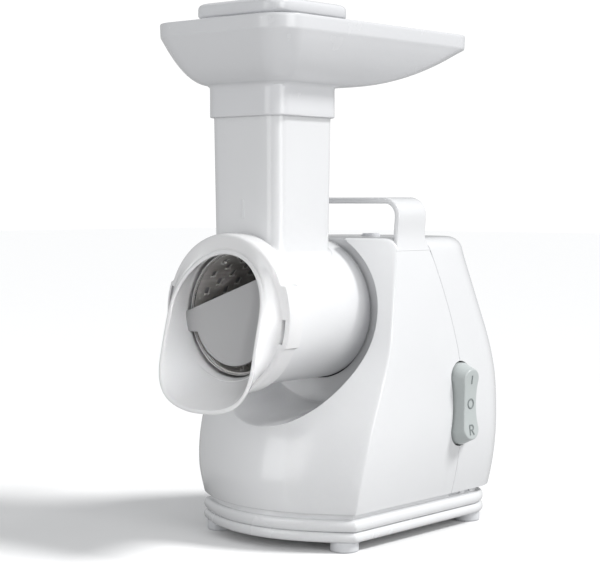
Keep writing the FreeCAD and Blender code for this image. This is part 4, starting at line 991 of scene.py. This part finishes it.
def outlet_cap():
    outer_lip = mouth_outline(MOUTH_R + SPOUT_WALL, MOUTH_DROP + SPOUT_WALL,
                              SPOUT_CORNER + SPOUT_WALL)
    inner_lip = mouth_outline(MOUTH_R, MOUTH_DROP, SPOUT_CORNER)
    def look(table):
        return lambda a: table[int(round(a / (2 * math.pi) * CAP_COUNT)) % CAP_COUNT]
    lip, mouth = look(outer_lip), look(inner_lip)
    def ring(a):
        return CAP_R + cap_ear(a)
    def mix(first, second, t):
        return lambda a: first(a) * (1 - t) + second(a) * t
    def lean_y(a, r):
        return rim_lean(AXIS_Z + r * math.sin(a))
    rows = [
        cap_row(lambda a: RIM_SEAT_R, lambda a, r: CAP_REAR),
        cap_row(lambda a: ring(a) - 0.8, lambda a, r: CAP_REAR),
        cap_row(lambda a: ring(a), lambda a, r: CAP_REAR - 0.8),
        cap_row(lambda a: ring(a), lambda a, r: CAP_FACE + 2.4 + 0.3 * cap_ear(a)),
        cap_row(lambda a: ring(a) - 0.5, lambda a, r: CAP_FACE + 1.0 + 0.3 * cap_ear(a)),
        cap_row(lambda a: CAP_R - 1.4, lambda a, r: CAP_FACE + 0.1),
        cap_row(lambda a: CAP_R - 3.0, lambda a, r: CAP_FACE - 0.1),
    ]
    # the spout's outside runs from the ring's face to the leaning rim
    for t in (0.12, 0.3, 0.5, 0.7, 0.88):
        start, goal = (lambda a: CAP_R - 3.6), lip
        def between_y(a, r, t=t):
            end = rim_lean(AXIS_Z + lip(a) * math.sin(a))
            return (CAP_FACE - 0.2) * (1 - t) + end * t
        rows.append(cap_row(mix(start, goal, t), between_y))
    rows += [
        cap_row(lip, lambda a, r: lean_y(a, r) + 0.5),
        cap_row(mix(lip, mouth, 0.15), lambda a, r: lean_y(a, r) + 0.05),
        cap_row(mix(lip, mouth, 0.5), lambda a, r: lean_y(a, r) - 0.2),
        cap_row(mix(lip, mouth, 0.85), lambda a, r: lean_y(a, r) + 0.1),
        cap_row(mouth, lambda a, r: lean_y(a, r) + 0.8),
    ]
    bore = lambda a: SLEEVE_BORE
    for t in (0.06, 0.2, 0.4, 0.6, 0.8, 0.93):
        def inner_y(a, r, t=t):
            start = rim_lean(AXIS_Z + mouth(a) * math.sin(a)) + 0.8
            return start * (1 - t) + (SLEEVE_END - 2.6) * t
        rows.append(cap_row(mix(mouth, bore, t), inner_y))
    rows += [
        cap_row(bore, lambda a, r: SLEEVE_END - 2.0),
        cap_row(bore, lambda a, r: SLEEVE_END - 0.2),
        cap_row(lambda a: SLEEVE_R - 0.3, lambda a, r: SLEEVE_END),
        cap_row(lambda a: SLEEVE_R, lambda a, r: SLEEVE_END - 0.4),
        cap_row(lambda a: SLEEVE_R, lambda a, r: HEAD_FRONT - 0.8),
        cap_row(lambda a: RIM_SEAT_R, lambda a, r: HEAD_FRONT - 0.8),
    ]
    return skin(rows, tube=True)


cap = build("outlet_cap_shell", outlet_cap(), MATERIALS["cap_white"], "outlet_cap",
            ["front_cap"], sharp=40)
for first in (-19.5, 160.5):
    outline = [(r * math.cos(math.radians(a)), AXIS_Z + r * math.sin(math.radians(a)))
               for r, turns in ((SLOT_INNER, spread(first, first + SLOT_SWEEP, 13)),
                                (SLOT_OUTER, spread(first + SLOT_SWEEP, first, 13)))
               for a in turns]
    carve(cap, prism([[(x, y, z) for x, z in outline]
                      for y in (CAP_FACE - 8, CAP_FACE + SLOT_DEPTH)]))


def baffle():
    """The flat plate across the drum's mouth: round below, slanting straight edge above."""
    plate_r = 32.6
    slope = math.tan(math.radians(20))
    edge_rise = 14.5
    def reach(angle):
        s, c = math.sin(angle), math.cos(angle)
        r = plate_r
        z_low, z_high = -13.0, 5.0
        side_r = 40.4
        for trial in spread(side_r, plate_r, 12):
            if z_low < trial * s < z_high:
                r = trial
                break
        above = s - slope * c
        if above > 1e-6:
            r = min(r, edge_rise / above)
        return r
    angles = spread(0, 2 * math.pi, 361)[:-1]
    front = SLEEVE_END - 2.2
    rows = []
    for inset, y in ((0.4, front), (0.0, front + 0.4), (0.0, SLEEVE_END)):
        rows.append([((reach(a) - inset) * math.cos(a), y, AXIS_Z + (reach(a) - inset) * math.sin(a))
                     for a in angles])
    return prism(rows)


# The baffle's grey colour is painted shade on white plastic.
build("outlet_baffle", baffle(), baffle_painted_shade, "outlet_cap", sharp=40)

# ------------------------------------------------------------ hopper tray

NECK_X = TUBE_HALF_X + TUBE_TAPER / 2
NECK_Y = TUBE_HALF_Y + TUBE_TAPER / 2
COLLAR_GROW = 2.3
TRAY_HALF_Y = (TRAY_REAR - TRAY_FRONT) / 2
TRAY_MID = (TRAY_REAR + TRAY_FRONT) / 2


def bowl_loop(level, inset, lift):
    spread_out = math.sqrt(level)
    def blend(near, far):
        return near + (far - near) * spread_out
    z = COLLAR_TOP + (RIM_LOW - COLLAR_TOP) * level + lift
    return rounded_loop(blend(NECK_X + COLLAR_GROW, TRAY_HALF - 0.5) - inset,
                        blend(NECK_Y + COLLAR_GROW, TRAY_HALF_Y - 0.5) - inset,
                        blend(TUBE_Y, TRAY_MID), blend(NECK_CORNER, TRAY_CORNER) - inset, z, 13, 9)


def tray_loop(inset, z):
    return rounded_loop(TRAY_HALF - inset, TRAY_HALF_Y - inset, TRAY_MID, TRAY_CORNER - inset, z,
                        13, 9)


def neck_loop(grow, z):
    return rounded_loop(NECK_X + grow, NECK_Y + grow, TUBE_Y,
                        NECK_CORNER - COLLAR_GROW + grow, z, 13, 9)


def tray():
    levels = [0.0, 0.004, 0.012, 0.03, 0.06, 0.1, 0.15, 0.22, 0.3, 0.4, 0.5, 0.62, 0.75, 0.88, 1.0]
    rows = [neck_loop(1.8, COLLAR_LOW), neck_loop(2.2, COLLAR_LOW + 0.3),
            neck_loop(COLLAR_GROW, COLLAR_LOW + 1.0)]
    rows += [neck_loop(COLLAR_GROW, z) for z in spread(COLLAR_LOW + 4, COLLAR_TOP - 3, 5)]
    rows += [neck_loop(2.5, COLLAR_TOP - 1.2)]
    rows += [bowl_loop(level, 0.0, 0.0) for level in levels[1:-1]]
    rows += [tray_loop(0.9, RIM_LOW - 0.6), tray_loop(0.5, RIM_LOW + 0.2),
             tray_loop(0.35, RIM_LOW + 1.2), tray_loop(0.1, RIM_TOP - 2.0),
             tray_loop(0.05, RIM_TOP - 0.9), tray_loop(0.35, RIM_TOP - 0.2),
             tray_loop(0.9, RIM_TOP), tray_loop(1.8, RIM_TOP), tray_loop(2.4, RIM_TOP - 0.3),
             tray_loop(2.6, RIM_TOP - 1.0), tray_loop(3.1, RIM_LOW + 2.6)]
    rows += [bowl_loop(level, 2.6, 2.6) for level in reversed(levels[1:-1])]
    rows += [neck_loop(-2.0, COLLAR_TOP + 2.6), neck_loop(-2.8, COLLAR_TOP + 1.8),
             neck_loop(-2.8, TUBE_TOP + 0.4), neck_loop(0.4, TUBE_TOP + 0.4),
             neck_loop(0.4, COLLAR_LOW)]
    return skin(rows, tube=True)


build("hopper_bowl", tray(), MATERIALS["tray_white"], "tray", ["hopper_tray"],
      sharp=45)


PUSHER_HALF = 36.5
PUSHER_CORNER = 12.0
PUSHER_LOW = 332.0
PUSHER_TOP = 341.0


def pusher_top():
    low, top = PUSHER_LOW, PUSHER_TOP
    rows = []
    for inset, z in ((3.0, low), (1.4, low), (0.5, low + 0.4), (0.0, low + 1.4), (0.0, top - 3.4),
                     (0.25, top - 2.2), (0.9, top - 1.2), (2.0, top - 0.5), (3.6, top - 0.08),
                     (5.5, top), (7.0, top - 0.25), (12.0, top - 0.5), (24.0, top - 0.5)):
        rows.append(rounded_loop(PUSHER_HALF - inset, PUSHER_HALF - inset, TUBE_Y,
                                 PUSHER_CORNER - inset * 0.5, z, 11, 6))
    plug = [rounded_loop(22.6, 21.7, TUBE_Y, 4.0, z) for z in (326.0, low + 0.5)]
    return joined(prism(rows), prism(plug))


build("pusher_top_plate", pusher_top(), MATERIALS["tray_white"], "pusher",
      ["pusher_cap"], sharp=50)

# ------------------------------------------------------------ floor, light, camera

floor_shape = ([(-9000, -9000, 0), (9000, -9000, 0), (9000, 9000, 0), (-9000, 9000, 0)],
               [(0, 1, 2, 3)])
floor_material = plastic("floor_white", (1.0, 1.0, 1.0), 0.9, 0.0, 0.0, 0.004)


def calm_bounce(material, share):
    """The floor gives back less light to the machine than it shows the camera."""
    nodes, links = material.node_tree.nodes, material.node_tree.links
    full = nodes["Principled BSDF"]
    dim = nodes.new("ShaderNodeBsdfDiffuse")
    dim.inputs["Color"].default_value = (share, share, share, 1)
    pick = nodes.new("ShaderNodeMixShader")
    rays = nodes.new("ShaderNodeLightPath")
    links.new(rays.outputs["Is Camera Ray"], pick.inputs["Fac"])
    links.new(dim.outputs["BSDF"], pick.inputs[1])
    links.new(full.outputs["BSDF"], pick.inputs[2])
    links.new(pick.outputs["Shader"], nodes["Material Output"].inputs["Surface"])


calm_bounce(floor_material, 0.45)
floor = build("floor", floor_shape, floor_material, None)

world = bpy.data.worlds.new("studio")
bpy.context.scene.world = world
world.use_nodes = True
wn, wl = world.node_tree.nodes, world.node_tree.links
back = wn["Background"]
back.inputs["Color"].default_value = (0.97, 0.985, 1.0, 1)
back.inputs["Strength"].default_value = 0.45
seen = wn.new("ShaderNodeBackground")
seen.inputs["Color"].default_value = (1, 1, 1, 1)
seen.inputs["Strength"].default_value = 1.05
pick = wn.new("ShaderNodeMixShader")
path = wn.new("ShaderNodeLightPath")
wl.new(path.outputs["Is Camera Ray"], pick.inputs["Fac"])
wl.new(back.outputs["Background"], pick.inputs[1])
wl.new(seen.outputs["Background"], pick.inputs[2])
wl.new(pick.outputs["Shader"], wn["World Output"].inputs["Surface"])


def lamp(kind, name, spot, target, energy, size=1.0, size_y=None, colour=(1, 1, 1)):
    data = bpy.data.lights.new(name, kind)
    data.energy = energy
    data.color = colour
    if kind == "AREA":
        data.shape = "RECTANGLE"
        data.size = size
        data.size_y = size_y or size
    else:
        data.angle = math.radians(size)
    thing = bpy.data.objects.new(name, data)
    bpy.context.scene.collection.objects.link(thing)
    thing.location = spot
    thing.rotation_euler = (Vector(target) - Vector(spot)).to_track_quat("-Z", "Y").to_euler()
    return thing


CAMERA_TURN = math.radians(40.75)
middle = Vector((0, 0, 0.16))
lamp("SUN", "key_sun", middle + Vector((0.82, 0.5, 1.1)), middle, 2.4, 14.0)
lamp("AREA", "side_softbox", middle + Vector((1.2, -0.28, 0.2)), middle, 5.6, 0.6, 0.9)
lamp("AREA", "front_fill", middle + Vector((-0.36, -1.35, 0.12)), middle, 5.0, 0.8, 1.1)
spout = Vector((-0.025, -0.115, 0.108))
spout_fill = lamp("AREA", "spout_fill", middle + Vector((0.70, -0.64, 0.0)), spout, 0.022,
                  0.12, 0.12)
spout_fill.data.spread = math.radians(14)
spout_fill.visible_glossy = False

camera_data = bpy.data.cameras.new("camera")
camera_data.lens = 96.84
camera_data.sensor_width = 36
camera = bpy.data.objects.new("camera", camera_data)
camera.location = (0.6822 - CENTRE_SHIFT * MM, -0.8208, 0.2172)
camera.rotation_euler = (math.radians(90 - 2.9), 0, CAMERA_TURN)
bpy.context.scene.collection.objects.link(camera)
bpy.context.scene.camera = camera
bpy.context.scene.view_settings.view_transform = "Standard"
